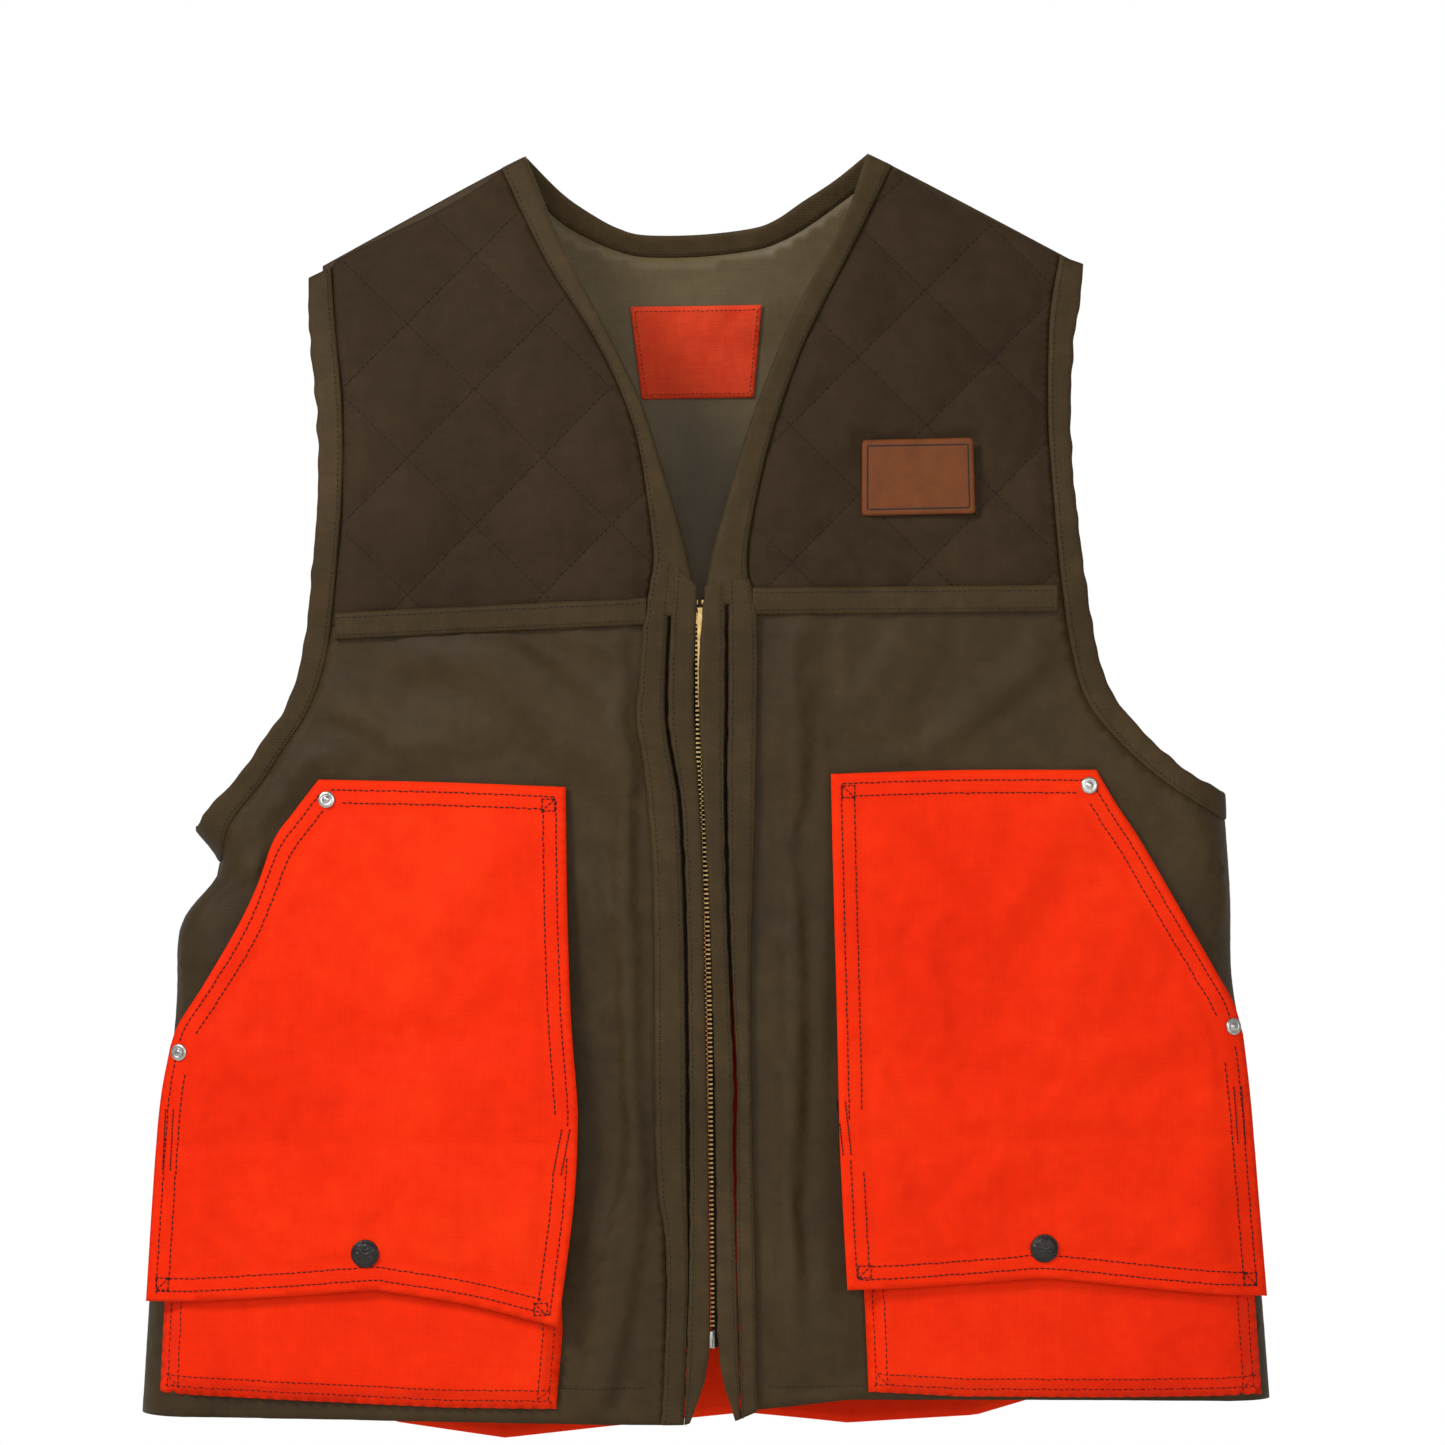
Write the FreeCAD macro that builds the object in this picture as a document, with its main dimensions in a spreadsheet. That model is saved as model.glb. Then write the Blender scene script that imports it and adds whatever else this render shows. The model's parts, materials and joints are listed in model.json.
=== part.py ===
import FreeCAD, Part
import math
import os
import Sketcher

V = FreeCAD.Vector

# ---------------------------------------------------------------------------------------------
# A sleeveless field vest, hung by its shoulders. Millimetres. +X is the wearer's left, -Y the
# front, +Z up. The origin lies between the two neck points, at the level of the hanger's top.
# Every cloth piece is a layer between two offsets of one draped skin, cut to its outline.
# The pocket pieces stand on the flat flank of the front and are modelled in its own frame.
# ---------------------------------------------------------------------------------------------

SIZES = {
    # draped skin
    "width_under_arm": 288.0,      # half width where the side seam starts
    "width_at_hem": 311.5,         # half width at the hem
    "under_arm_z": -360.0,
    "armhole_end_z": -378.0,       # where the armhole binding's sewn edge meets the side seam
    "hem_z": -698.0,
    "centre_depth": 45.0,          # from the middle plane to the centre front, and to the centre back
    "flank_start": 60.0,           # beyond this the skin falls back in a straight flank
    "flank_angle": 5.0,            # degrees
    "side_round": 30.0,            # radius with which the flank turns into the side seam
    "neck_half": 96.0,             # neck point on the shoulder line
    "shoulder_half": 215.0,
    "shoulder_slope": 0.555,
    "shoulder_soften": 40.0,
    "shoulder_fall": 200.0,        # height over which the shoulder swells to the full depth
    "shoulder_power": 2.2,
    # layers, as offsets outward from the skin
    "lining_thick": 1.0,
    "shell_out": 2.0,
    "yoke_out": 4.6,
    "tape_out": 5.6,
    "binding_in": -0.5,
    "binding_out": 5.8,
    # front opening
    "vee_top_width": 13.0,
    "vee_end_z": -226.0,
    "yoke_z": -249.0,
    "yoke_outer": 200.3,           # where the yoke seam meets the armhole binding
    "yoke_tape_outer": 197.0,
    "yoke_tape_height": 14.0,
    "placket_inner": 14.0,
    "placket_outer": 31.0,
    "placket_out": 5.5,
    "guard_inner": 1.9,
    "guard_outer": 15.5,
    "guard_out": 6.7,
    "guard_lift": 2.0,             # lower end of the guard, above the hem
    "strip_gap": 0.5,              # between the neck binding and the strips below it
    "hem_band_height": 20.0,
    "hem_band_in": -1.0,
    "seam_gap": 1.0,               # between pieces that meet edge to edge
    "armhole_band": 12.5,
    # zipper
    "zip_top_z": -250.0,
    "zip_bottom_z": -656.0,
    "zip_tape_inner": 1.2,
    "zip_tape_half_thick": 0.35,
    "tooth_reach": 2.9,
    "tooth_half_thick": 1.25,
    "tooth_pitch": 2.54,
    "tooth_clear": 0.5,
    "bead_in": 0.9,                # the teeth's cord, inside the tape's edge
    "nose_past_tape": 0.3,         # the gaps between the teeth's noses, outside the tape's edge
    "tape_above": 4.0,
    "stop_inner": 0.3,
    "stop_height": 3.0,
    "slider_half_width": 5.0,
    "slider_length": 9.0,
    "slider_gap": 1.65,
    "slider_plate": 1.2,
    "slider_top_z": -251.5,
    "slider_chamfer": 1.0,
    "slider_clear": 0.6,
    "bridge_height": 4.0,          # the slider's web between the tapes
    "bridge_half_width": 0.8,
    "crown_height": 2.2,
    "crown_top": 2.5,              # the ears, below the slider's top
    "crown_bottom": 5.5,
    "crown_half_width": 2.5,
    "crown_gap_half": 1.6,
    "crown_clear": 1.0,
    "crown_pin_off": 1.35,
    "crown_pin_below": 4.0,
    "pull_length": 50.0,
    "pull_half_width": 1.3,
    "pull_thick": 1.4,
    "pull_pin_radius": 0.4,
    "pull_eye_clear": 0.06,
    "pull_above_pin": 0.9,
    "box_height": 9.0,
    "box_half_width": 3.6,
    "box_half_thick": 1.9,
    "box_far_side": 0.5,
    "box_below": 1.0,              # box and pin, past the tape's lower end
    "pin_inner": 0.7,
    "pin_outer": 2.6,
    "pin_half_thick": 1.2,
    # pockets, in the flank's frame: widths run from the flank's start, heights are vest heights
    "pocket_gap": 2.6,             # the pocket's back, in front of the skin
    "pocket_inner": 14.0,
    "pocket_top_outer": 155.0,
    "pocket_slant_outer": 234.0,
    "pocket_outer": 241.0,
    "pocket_top_z": -349.0,
    "pocket_slant_z": -482.0,
    "hinge_z": -543.3,
    "hinge_clear": 0.9,
    "pocket_tilt": 3.7,            # degrees, by which the upper pocket stands away downward
    "cloth_thick": 1.5,
    "pocket_wall_back": 4.0,       # the upper pocket's walls, past the vest before they are trimmed
    "pouch_inner": 24.0,
    "pouch_outer": 240.0,
    "pouch_top_z": -563.0,
    "pouch_bottom_z": -686.0,
    "pouch_deep": 9.0,
    "flap_back": 12.4,             # the flap's back, in front of the pocket's back plane
    "flap_outer": 249.0,
    "flap_bottom_outer_z": -631.0,
    "flap_bottom_mid_z": -622.0,
    "flap_bottom_inner_z": -636.0,
    "snap_across": 126.0,
    "snap_z": -603.0,
    "snap_radius": 7.6,
    "snap_dome": 2.2,
    "snap_shank": 2.0,
    "snap_seat": 0.08,             # a snap's rim stands this far off the cloth it grips
    "snap_hole": 3.0,              # hole in the cloth round a snap's shank
    "socket_radius": 6.0,
    "socket_bore": 2.6,
    "socket_thick": 2.2,
    "stud_base": 0.6,
    "stud_knob": 2.2,
    "stud_height": 2.5,
    "stud_bulge": 0.8,             # widest part of the stud, below its top
    "post_thick": 0.8,
    "rivet_radius": 4.75,
    "rivet_dome": 2.0,
    "rivet_shank": 1.4,
    "burr_radius": 3.5,
    "burr_thick": 0.8,
    "rivet_inset": 8.0,
    "rivet_from_corner": 5.0,
    "rivet_from_side": 7.0,
    # back and trimmings
    "bag_top_z": -400.0,
    "bag_bottom_z": -703.0,
    "bag_half_width": 256.0,
    "bag_deep": 12.0,
    "bag_wall": 1.0,
    "back_out": 2.5,
    "neck_drop": 42.0,
    "neck_band": 12.0,
    "neck_band_over": 1.5,
    "label_half_width": 36.5,
    "label_top_z": -82.0,
    "label_height": 50.0,
    "label_thick": 0.6,
    "patch_centre_x": 120.0,
    "patch_centre_z": -181.0,
    "patch_width": 63.0,
    "patch_height": 42.0,
    "patch_out": 6.4,
    # room for cuts
    "cut_through": 60.0,           # length of a cut that goes right through one layer
    "cut_short": 20.0,
    "cut_wide": 900.0,             # length of a cut right across the vest
    "mouth_over": 5.0,
    "hair": 0.01,
}

doc = FreeCAD.newDocument("FieldVest")
sheet = doc.addObject("Spreadsheet::Sheet", "Sizes")
for row, (alias, value) in enumerate(SIZES.items(), start=1):
    sheet.set("A%d" % row, alias)
    sheet.set("B%d" % row, str(value))
    sheet.setAlias("B%d" % row, alias)
doc.recompute()

nodes = []


def size(alias):
    """A driving dimension, read from the sheet."""
    return float(sheet.get(alias))


# ---------------------------------------------------------------------------------------------
# The draped skin
# ---------------------------------------------------------------------------------------------

def half_width(z):
    down = min(1.0, max(0.0, (size("under_arm_z") - z) / (size("under_arm_z") - size("hem_z"))))
    return size("width_under_arm") + down * (size("width_at_hem") - size("width_under_arm"))


def shoulder_line(x):
    soft = size("shoulder_soften")
    start = math.hypot(size("neck_half"), soft)
    return size("shoulder_slope") * (start - math.hypot(x, soft))


def skin_depth(x, z):
    """Distance of the skin from the middle plane, before the side is rounded."""
    flank = math.tan(math.radians(size("flank_angle"))) * max(0.0, abs(x) - size("flank_start"))
    fall = min(1.0, (shoulder_line(x) - z) / size("shoulder_fall"))
    if fall < 0:
        swell = size("shoulder_power") * fall
    else:
        swell = 1.0 - (1.0 - fall) ** size("shoulder_power")
    return (size("centre_depth") - flank) * swell


def skin_point(across, z, offset, front):
    """A point of the skin's offset; across is -1 to 1 over the flat part, up to 2 round a side."""
    flat = half_width(z) - size("side_round")
    turn = math.radians(90.0 * max(0.0, abs(across) - 1.0))
    x = flat * min(1.0, abs(across)) + (size("side_round") + offset) * math.sin(turn)
    y = (skin_depth(min(x, flat), z) + offset) * math.cos(turn)
    return V(math.copysign(x, across), -y if front else y, z)


ACROSS = [-2.0, -1.8, -1.6, -1.4, -1.2]
ACROSS += [-1.0 + 0.1 * i for i in range(21)]
ACROSS += [1.2, 1.4, 1.6, 1.8, 2.0]
LEVELS = [30.0 - 24.0 * i for i in range(16)] + [-360.0 - 70.0 * i for i in range(6)]


def skin_face(offset, front):
    rows = [[skin_point(a, z, offset, front) for a in ACROSS] for z in LEVELS]
    surface = Part.BSplineSurface()
    surface.interpolate(rows)
    return surface


def edge_pairs(surface):
    u0, u1, v0, v1 = surface.bounds()
    return [surface.uIso(u0).toShape(), surface.uIso(u1).toShape(),
            surface.vIso(v0).toShape(), surface.vIso(v1).toShape()]


slabs = {}


def slab(inner, outer, front):
    """The closed solid between two offsets of the front or back skin."""
    key = (inner, outer, front)
    if key not in slabs:
        low = skin_face(inner, front)
        high = skin_face(outer, front)
        faces = [low.toShape(), high.toShape()]
        for a, b in zip(edge_pairs(low), edge_pairs(high)):
            faces.append(Part.makeRuledSurface(a, b))
        shell = Part.makeShell(faces)
        shell.sewShape()
        solid = Part.makeSolid(Part.Shell(shell.Faces))
        if solid.Volume < 0:
            solid.reverse()
        slabs[key] = solid
    return slabs[key]


# ---------------------------------------------------------------------------------------------
# Outlines, as seen from the front: points (x, z), with curved stretches as splines
# ---------------------------------------------------------------------------------------------

DEEP = 400.0       # prisms reach past the vest, front and back


def line(*points):
    return [("line", list(points))]


def curve(*points):
    return [("curve", list(points))]


def prism(stretches, side=1):
    """A prism through the vest whose outline is made of line and curve stretches."""
    edges = []
    first = stretches[0][1][0]
    last = first
    for kind, points in stretches:
        if points[0] != last:
            points = [last] + points
        spots = [V(side * x, -DEEP, z) for x, z in points]
        if kind == "line":
            edges += [Part.LineSegment(a, b).toShape() for a, b in zip(spots, spots[1:])]
        else:
            spline = Part.BSplineCurve()
            spline.interpolate(spots)
            edges.append(spline.toShape())
        last = points[-1]
    if last != first:
        edges.append(Part.LineSegment(V(side * last[0], -DEEP, last[1]),
                                      V(side * first[0], -DEEP, first[1])).toShape())
    face = Part.Face(Part.Wire(edges))
    return face.extrude(V(0, 2 * DEEP, 0))


def shoulder_points(x_from, x_to, count=5):
    step = (x_to - x_from) / (count - 1)
    return [(x_from + i * step, shoulder_line(x_from + i * step)) for i in range(count)]


def armhole_outer():
    """The free edge of the armhole, from the shoulder tip to the side seam."""
    tip = size("shoulder_half")
    return [(tip, shoulder_line(tip)), (213.0, -100.0), (208.5, -136.0), (207.0, -175.0),
            (209.5, -215.0), (215.0, -258.0), (222.0, -290.0), (238.0, -318.0),
            (260.0, -340.0), (size("width_under_arm"), size("under_arm_z"))]


def armhole_inner():
    """The sewn edge of the armhole binding, one band's width inside the free edge."""
    band = size("armhole_band")
    tip = size("shoulder_half") - band
    return [(tip, shoulder_line(tip)), (199.5, -100.0), (195.5, -136.0), (194.3, -176.0),
            (196.8, -217.0), (202.2, -260.0), (209.5, -294.0), (226.5, -324.5),
            (250.0, -349.0), (half_width(size("armhole_end_z")), size("armhole_end_z"))]


def vee_inner():
    """The free edge of the front neck, from the neck point to the top of the zipper."""
    return [(size("neck_half"), shoulder_line(size("neck_half"))), (78.5, -42.0), (54.5, -88.0),
            (35.5, -129.0), (23.0, -165.0), (11.5, -206.0), (6.5, size("vee_end_z"))]


def vee_outer():
    """The sewn edge of the front neck binding."""
    x = size("neck_half") + size("vee_top_width")
    return [(x, shoulder_line(x)), (83.5, -57.0), (60.5, -98.5), (46.5, -129.0),
            (36.0, -162.0), (27.5, -208.0), (25.5, size("vee_end_z"))]


def neck_curve(drop):
    """The back neck, from one neck point to the other, lowered by drop."""
    half = size("neck_half")
    deep = size("neck_drop")
    spots = []
    for i in range(9):
        x = -half + 2 * half * i / 8.0
        spots.append((x, -deep * (1.0 - (abs(x) / half) ** 2.4) - drop))
    return spots


BELOW = 60.0       # how far panel outlines run past the side seam, where the skin ends


def panel_front_outline(inner_x):
    """One side of the front below the yoke seam, from inner_x to the side seam."""
    yoke = size("yoke_z")
    hem = size("hem_z")
    edge = [p for p in armhole_inner() if p[1] < yoke]
    top = (size("yoke_outer"), yoke)
    wide = half_width(hem) + BELOW
    return (line((inner_x, hem), (inner_x, yoke), top) + curve(top, *edge)
            + line(edge[-1], (wide, edge[-1][1]), (wide, hem)))


def lining_front_outline(inner_x):
    hem = size("hem_z")
    wide = half_width(hem) + BELOW
    vee = vee_outer()
    arm = armhole_inner()
    top = shoulder_points(vee[0][0], arm[0][0])
    return (line((inner_x, hem), (inner_x, vee[-1][1]), vee[-1]) + curve(*reversed(vee))
            + curve(*top) + curve(*arm) + line(arm[-1], (wide, arm[-1][1]), (wide, hem)))


def yoke_outline():
    yoke = size("yoke_z")
    vee = vee_outer()
    arm = [p for p in armhole_inner() if p[1] > yoke] + [(size("yoke_outer"), yoke)]
    top = shoulder_points(vee[0][0], arm[0][0])
    inner = size("placket_outer")
    return (line((inner, yoke), (inner, vee[-1][1]), vee[-1]) + curve(*reversed(vee))
            + curve(*top) + curve(*arm) + line(arm[-1], (inner, yoke)))


def back_outline():
    """The whole back, inside the armhole and neck bindings."""
    hem = size("hem_z")
    wide = half_width(hem) + BELOW
    arm = armhole_inner()
    neck = neck_curve(size("neck_band"))
    neck = [(x, z) for x, z in neck if abs(x) < size("neck_half") - size("seam_gap")]
    inner = size("neck_half") + size("seam_gap")
    right = shoulder_points(inner, arm[0][0])
    mirrored_arm = [(-x, z) for x, z in arm]
    mirrored_top = [(-x, z) for x, z in reversed(right)]
    return (line((-wide, hem), (-wide, arm[-1][1]), mirrored_arm[-1])
            + curve(*reversed(mirrored_arm)) + curve(*mirrored_top)
            + line(mirrored_top[-1], neck[0]) + curve(*neck) + line(neck[-1], right[0])
            + curve(*right) + curve(*arm) + line(arm[-1], (wide, arm[-1][1]), (wide, hem)))


def box_outline(x0, z0, x1, z1):
    return line((x0, z0), (x1, z0), (x1, z1), (x0, z1))


# ---------------------------------------------------------------------------------------------
# Document helpers
# ---------------------------------------------------------------------------------------------

def biggest(shape):
    return max(shape.Solids, key=lambda solid: solid.Volume)


def add_feature(label, shape):
    """A cloth or grouped piece whose shape is worked out from the sheet's sizes."""
    feature = doc.addObject("Part::Feature", label)
    feature.Shape = shape
    feature.Placement = FreeCAD.Placement()
    feature.Label = label
    nodes.append(feature)
    return feature


def add_layer(label, inner, outer, outline, side=1, front=True):
    piece = slab(inner, outer, front).common(prism(outline, side))
    add_feature(label, biggest(piece))


def side_name(side):
    return "left" if side > 0 else "right"


def new_body(label, placement=None):
    body = doc.addObject("PartDesign::Body", label)
    body.Label = label
    if placement is not None:
        body.Placement = placement
    nodes.append(body)
    return body


def origin_plane(body, role):
    return next(f for f in body.Origin.OriginFeatures if f.Role == role)


def polygon_sketch(body, name, role, corners):
    """A closed polygon; each corner is a pair of expressions, and both are bound to the sheet."""
    sketch = body.newObject("Sketcher::SketchObject", name)
    sketch.AttachmentSupport = [(origin_plane(body, role), "")]
    sketch.MapMode = "FlatFace"
    spots = [V(sheet.evalExpression(a), sheet.evalExpression(b), 0) for a, b in corners]
    count = len(spots)
    for i in range(count):
        sketch.addGeometry(Part.LineSegment(spots[i], spots[(i + 1) % count]), False)
    for i in range(count):
        sketch.addConstraint(Sketcher.Constraint("Coincident", i, 2, (i + 1) % count, 1))
    for i, (a, b) in enumerate(corners):
        for kind, expression, value in (("DistanceX", a, spots[i].x), ("DistanceY", b, spots[i].y)):
            index = sketch.addConstraint(Sketcher.Constraint(kind, -1, 1, i, 1, value))
            sketch.setExpression("Constraints[%d]" % index, expression)
    return sketch


def circle_sketch(body, name, role, circles):
    """Full circles: each is (x expression, y expression, radius expression)."""
    sketch = body.newObject("Sketcher::SketchObject", name)
    sketch.AttachmentSupport = [(origin_plane(body, role), "")]
    sketch.MapMode = "FlatFace"
    for i, (a, b, r) in enumerate(circles):
        x, y, radius = (sheet.evalExpression(e) for e in (a, b, r))
        sketch.addGeometry(Part.Circle(V(x, y, 0), V(0, 0, 1), radius), False)
        for kind, expression, value in (("DistanceX", a, x), ("DistanceY", b, y)):
            index = sketch.addConstraint(Sketcher.Constraint(kind, -1, 1, i, 3, value))
            sketch.setExpression("Constraints[%d]" % index, expression)
        index = sketch.addConstraint(Sketcher.Constraint("Radius", i, radius))
        sketch.setExpression("Constraints[%d]" % index, r)
    return sketch


def pad(body, name, sketch, length, back=False, both=False):
    """Padding on the XZ plane goes to the front, -Y, unless back is set."""
    feature = body.newObject("PartDesign::Pad", name)
    feature.Profile = sketch
    feature.setExpression("Length", length)
    feature.Reversed = back
    feature.Midplane = both
    return feature


def pocket(body, name, sketch, length, back=False, both=False):
    """A pocket from the XZ plane cuts to the back, +Y, unless back is set."""
    feature = body.newObject("PartDesign::Pocket", name)
    feature.Profile = sketch
    feature.setExpression("Length", length)
    feature.Reversed = back
    feature.Midplane = both
    return feature


def revolve(body, name, sketch):
    """A full turn of the sketch about its vertical axis."""
    feature = body.newObject("PartDesign::Revolution", name)
    feature.Profile = sketch
    feature.ReferenceAxis = (sketch, ["V_Axis"])
    feature.Angle = 360.0
    return feature


# ---------------------------------------------------------------------------------------------
# Cloth of the front, the back and their bindings
# ---------------------------------------------------------------------------------------------

def build_front(side):
    name = side_name(side)
    lining = size("lining_thick")
    shell = size("shell_out")
    inner = size("placket_inner")
    yoke = size("yoke_z")
    hem = size("hem_z")
    tape = size("yoke_tape_height")
    add_layer("front_lining_" + name, 0.0, lining, lining_front_outline(inner), side)
    add_layer("front_panel_" + name, lining, shell, panel_front_outline(inner), side)
    add_layer("yoke_" + name, lining, size("yoke_out"), yoke_outline(), side)
    tape_outline = box_outline(size("placket_outer"), yoke - tape / 2,
                               size("yoke_tape_outer"), yoke + tape / 2)
    strip_top = size("vee_end_z") - size("strip_gap")
    add_layer("yoke_tape_" + name, size("yoke_out"), size("tape_out"), tape_outline, side)
    add_layer("placket_" + name, shell, size("placket_out"),
              box_outline(inner, hem, size("placket_outer"), strip_top), side)
    add_layer("zip_guard_" + name, size("placket_out"), size("guard_out"),
              box_outline(size("guard_inner"), hem + size("guard_lift"), size("guard_outer"),
                          strip_top), side)
    wide = half_width(hem) + BELOW
    add_layer("hem_facing_front_" + name, size("hem_band_in"), 0.0,
              box_outline(inner, hem, wide, hem + size("hem_band_height")), side)
    vee_in = vee_inner()
    vee_out = vee_outer()
    top = shoulder_points(vee_in[0][0], vee_out[0][0], 3)
    add_layer("vee_binding_" + name, size("binding_in"), size("binding_out"),
              curve(*top) + curve(*vee_out) + line(vee_out[-1], vee_in[-1])
              + curve(*reversed(vee_in)), side)


def armhole_outline():
    """The band around one armhole, from the shoulder line to the side seam."""
    out = armhole_outer()
    sewn = armhole_inner()
    wide = half_width(size("armhole_end_z")) + BELOW
    top = shoulder_points(sewn[0][0], out[0][0], 3)
    return (curve(*top) + curve(*out)
            + line(out[-1], (wide, out[-1][1]), (wide, sewn[-1][1]), sewn[-1])
            + curve(*reversed(sewn)))


def build_armhole(side):
    name = side_name(side)
    for front, place in ((True, "front"), (False, "back")):
        add_layer("armhole_binding_%s_%s" % (place, name), size("binding_in"),
                  size("binding_out"), armhole_outline(), side, front)


def build_back():
    lining = size("lining_thick")
    hem = size("hem_z")
    wide = half_width(hem) + BELOW
    add_layer("back_lining", 0.0, lining, back_outline(), 1, False)
    add_layer("back_panel", lining, size("back_out"), back_outline(), 1, False)
    band = size("hem_band_height")
    add_layer("hem_facing_back", size("back_out"), size("back_out") + lining,
              box_outline(-wide, hem, wide, hem + band), 1, False)
    upper = neck_curve(0.0)
    lower = neck_curve(size("neck_band"))
    lower = [p for p in lower if abs(p[0]) < size("neck_half") - size("seam_gap")]
    band_outline = curve(*upper) + line(upper[-1], lower[-1]) + curve(*reversed(lower))
    add_layer("back_neck_binding", size("binding_in"), size("back_out") + size("neck_band_over"),
              band_outline, 1, False)


def build_game_bag():
    """A tray of coated cloth inside the back, open at its top, sewn to the back lining."""
    half = size("bag_half_width")
    wall = size("bag_wall")
    top = size("bag_top_z")
    bottom = size("bag_bottom_z")
    deep = size("bag_deep")
    whole = slab(-deep, 0.0, False).common(prism(box_outline(-half, bottom, half, top)))
    hollow = slab(wall - deep, wall, False).common(
        prism(box_outline(wall - half, bottom + wall, half - wall, top + wall)))
    add_feature("game_bag", biggest(whole.cut(hollow)))


def build_trimmings():
    half = size("label_half_width")
    top = size("label_top_z")
    add_layer("neck_label", -size("label_thick"), 0.0,
              box_outline(-half, top - size("label_height"), half, top), 1, False)
    x = size("patch_centre_x")
    z = size("patch_centre_z")
    w = size("patch_width") / 2
    h = size("patch_height") / 2
    add_layer("chest_patch", size("yoke_out"), size("patch_out"),
              box_outline(x - w, z - h, x + w, z + h))


# ---------------------------------------------------------------------------------------------
# Pockets: an upper hand pocket, a flap that hangs from it and a lower pouch behind the flap
# ---------------------------------------------------------------------------------------------

def flank_place(side, forward, z=0.0, tilt=0.0):
    """The frame on the front's flank: X along it, Y to the back, Z up; forward moves it out."""
    turn = FreeCAD.Rotation(V(0, 0, 1), side * size("flank_angle"))
    lean = FreeCAD.Rotation(V(1, 0, 0), tilt)
    base = V(side * size("flank_start"), -size("centre_depth") - forward, z)
    return FreeCAD.Placement(base, turn.multiply(lean))


def upper_pocket_place(side):
    return flank_place(side, size("pocket_gap"), size("pocket_top_z"), -size("pocket_tilt"))


def signed(side, expression):
    return "%d * (%s)" % (side, expression)


def build_pocket_panel(side):
    """Front wall, inner, bottom and outer walls; the slanted edge stays open for the hand."""
    body = new_body("pocket_panel_" + side_name(side),
                    upper_pocket_place(side))
    drop = "Sizes.hinge_z + Sizes.hinge_clear - Sizes.pocket_top_z"
    slant = "Sizes.pocket_slant_z - Sizes.pocket_top_z"
    inner = signed(side, "Sizes.pocket_inner")
    outer = signed(side, "Sizes.pocket_outer")
    slant_x = signed(side, "Sizes.pocket_slant_outer")
    outline = [(inner, "0"), (signed(side, "Sizes.pocket_top_outer"), "0"), (slant_x, slant),
               (outer, drop), (inner, drop)]
    pad(body, "FrontWall", polygon_sketch(body, "Outline", "XZ_Plane", outline),
        "Sizes.cloth_thick")
    inside = signed(side, "Sizes.pocket_inner + Sizes.cloth_thick")
    out_wall = signed(side, "Sizes.pocket_outer - Sizes.cloth_thick")
    out_slant = signed(side, "Sizes.pocket_slant_outer - Sizes.cloth_thick")
    floor = drop + " + Sizes.cloth_thick"
    rim = [(inner, "0"), (inside, "0"), (inside, floor), (out_wall, floor), (out_slant, slant),
           (slant_x, slant), (outer, drop), (inner, drop)]
    pad(body, "Walls", polygon_sketch(body, "Rim", "XZ_Plane", rim),
        "Sizes.flap_back + Sizes.pocket_wall_back", back=True)
    doc.recompute()
    before = body.Shape.Volume
    rise = "Sizes.pocket_top_z - Sizes.hinge_z"
    reach = "tan(Sizes.pocket_tilt * 1deg) * (%s)" % rise
    far = "Sizes.cut_through"
    above = "Sizes.seam_gap"
    behind = [("0.1 * Sizes.hair", "0"), (reach, "-(%s)" % rise), (far, "-(%s)" % rise), (far, above),
              ("0.1 * Sizes.hair", above)]
    pocket(body, "TrimToVest", polygon_sketch(body, "Behind", "YZ_Plane", behind),
           "Sizes.cut_wide", both=True)
    doc.recompute()
    if not body.Shape.Volume < before:
        raise RuntimeError("the pocket walls were not trimmed")
    holes = [(signed(side, x), z, "Sizes.rivet_shank") for x, z in rivet_spots()]
    pocket(body, "RivetHoles", circle_sketch(body, "Rivets", "XZ_Plane", holes),
           "Sizes.cut_short", both=True)


def rivet_spots():
    """Rivet centres in the upper pocket's frame, as expressions without the side's sign."""
    return [("Sizes.pocket_top_outer - Sizes.rivet_from_corner", "-Sizes.rivet_inset"),
            ("Sizes.pocket_slant_outer - Sizes.rivet_from_side",
             "Sizes.pocket_slant_z - Sizes.pocket_top_z - Sizes.rivet_from_side")]


def build_pouch(side):
    body = new_body("pouch_" + side_name(side), flank_place(side, size("pocket_gap")))
    inner = signed(side, "Sizes.pouch_inner")
    outer = signed(side, "Sizes.pouch_outer")
    top = "Sizes.pouch_top_z"
    bottom = "Sizes.pouch_bottom_z"
    outline = [(inner, top), (outer, top), (outer, bottom), (inner, bottom)]
    pad(body, "Block", polygon_sketch(body, "Outline", "XZ_Plane", outline), "Sizes.pouch_deep")
    doc.recompute()
    before = body.Shape.Volume
    inside = signed(side, "Sizes.pouch_inner + Sizes.cloth_thick")
    out_wall = signed(side, "Sizes.pouch_outer - Sizes.cloth_thick")
    over = top + " + Sizes.mouth_over"
    hollow = [(inside, over), (out_wall, over),
              (out_wall, bottom + " + Sizes.cloth_thick"), (inside, bottom + " + Sizes.cloth_thick")]
    pocket(body, "Inside", polygon_sketch(body, "Hollow", "XZ_Plane", hollow),
           "Sizes.pouch_deep - Sizes.cloth_thick", back=True)
    doc.recompute()
    if not body.Shape.Volume < 0.5 * before:
        raise RuntimeError("the pouch was not hollowed")
    hole = [(signed(side, "Sizes.snap_across"), "Sizes.snap_z", "Sizes.snap_hole")]
    pocket(body, "StudHole", circle_sketch(body, "Hole", "XZ_Plane", hole), "Sizes.cut_through",
           both=True)


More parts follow.
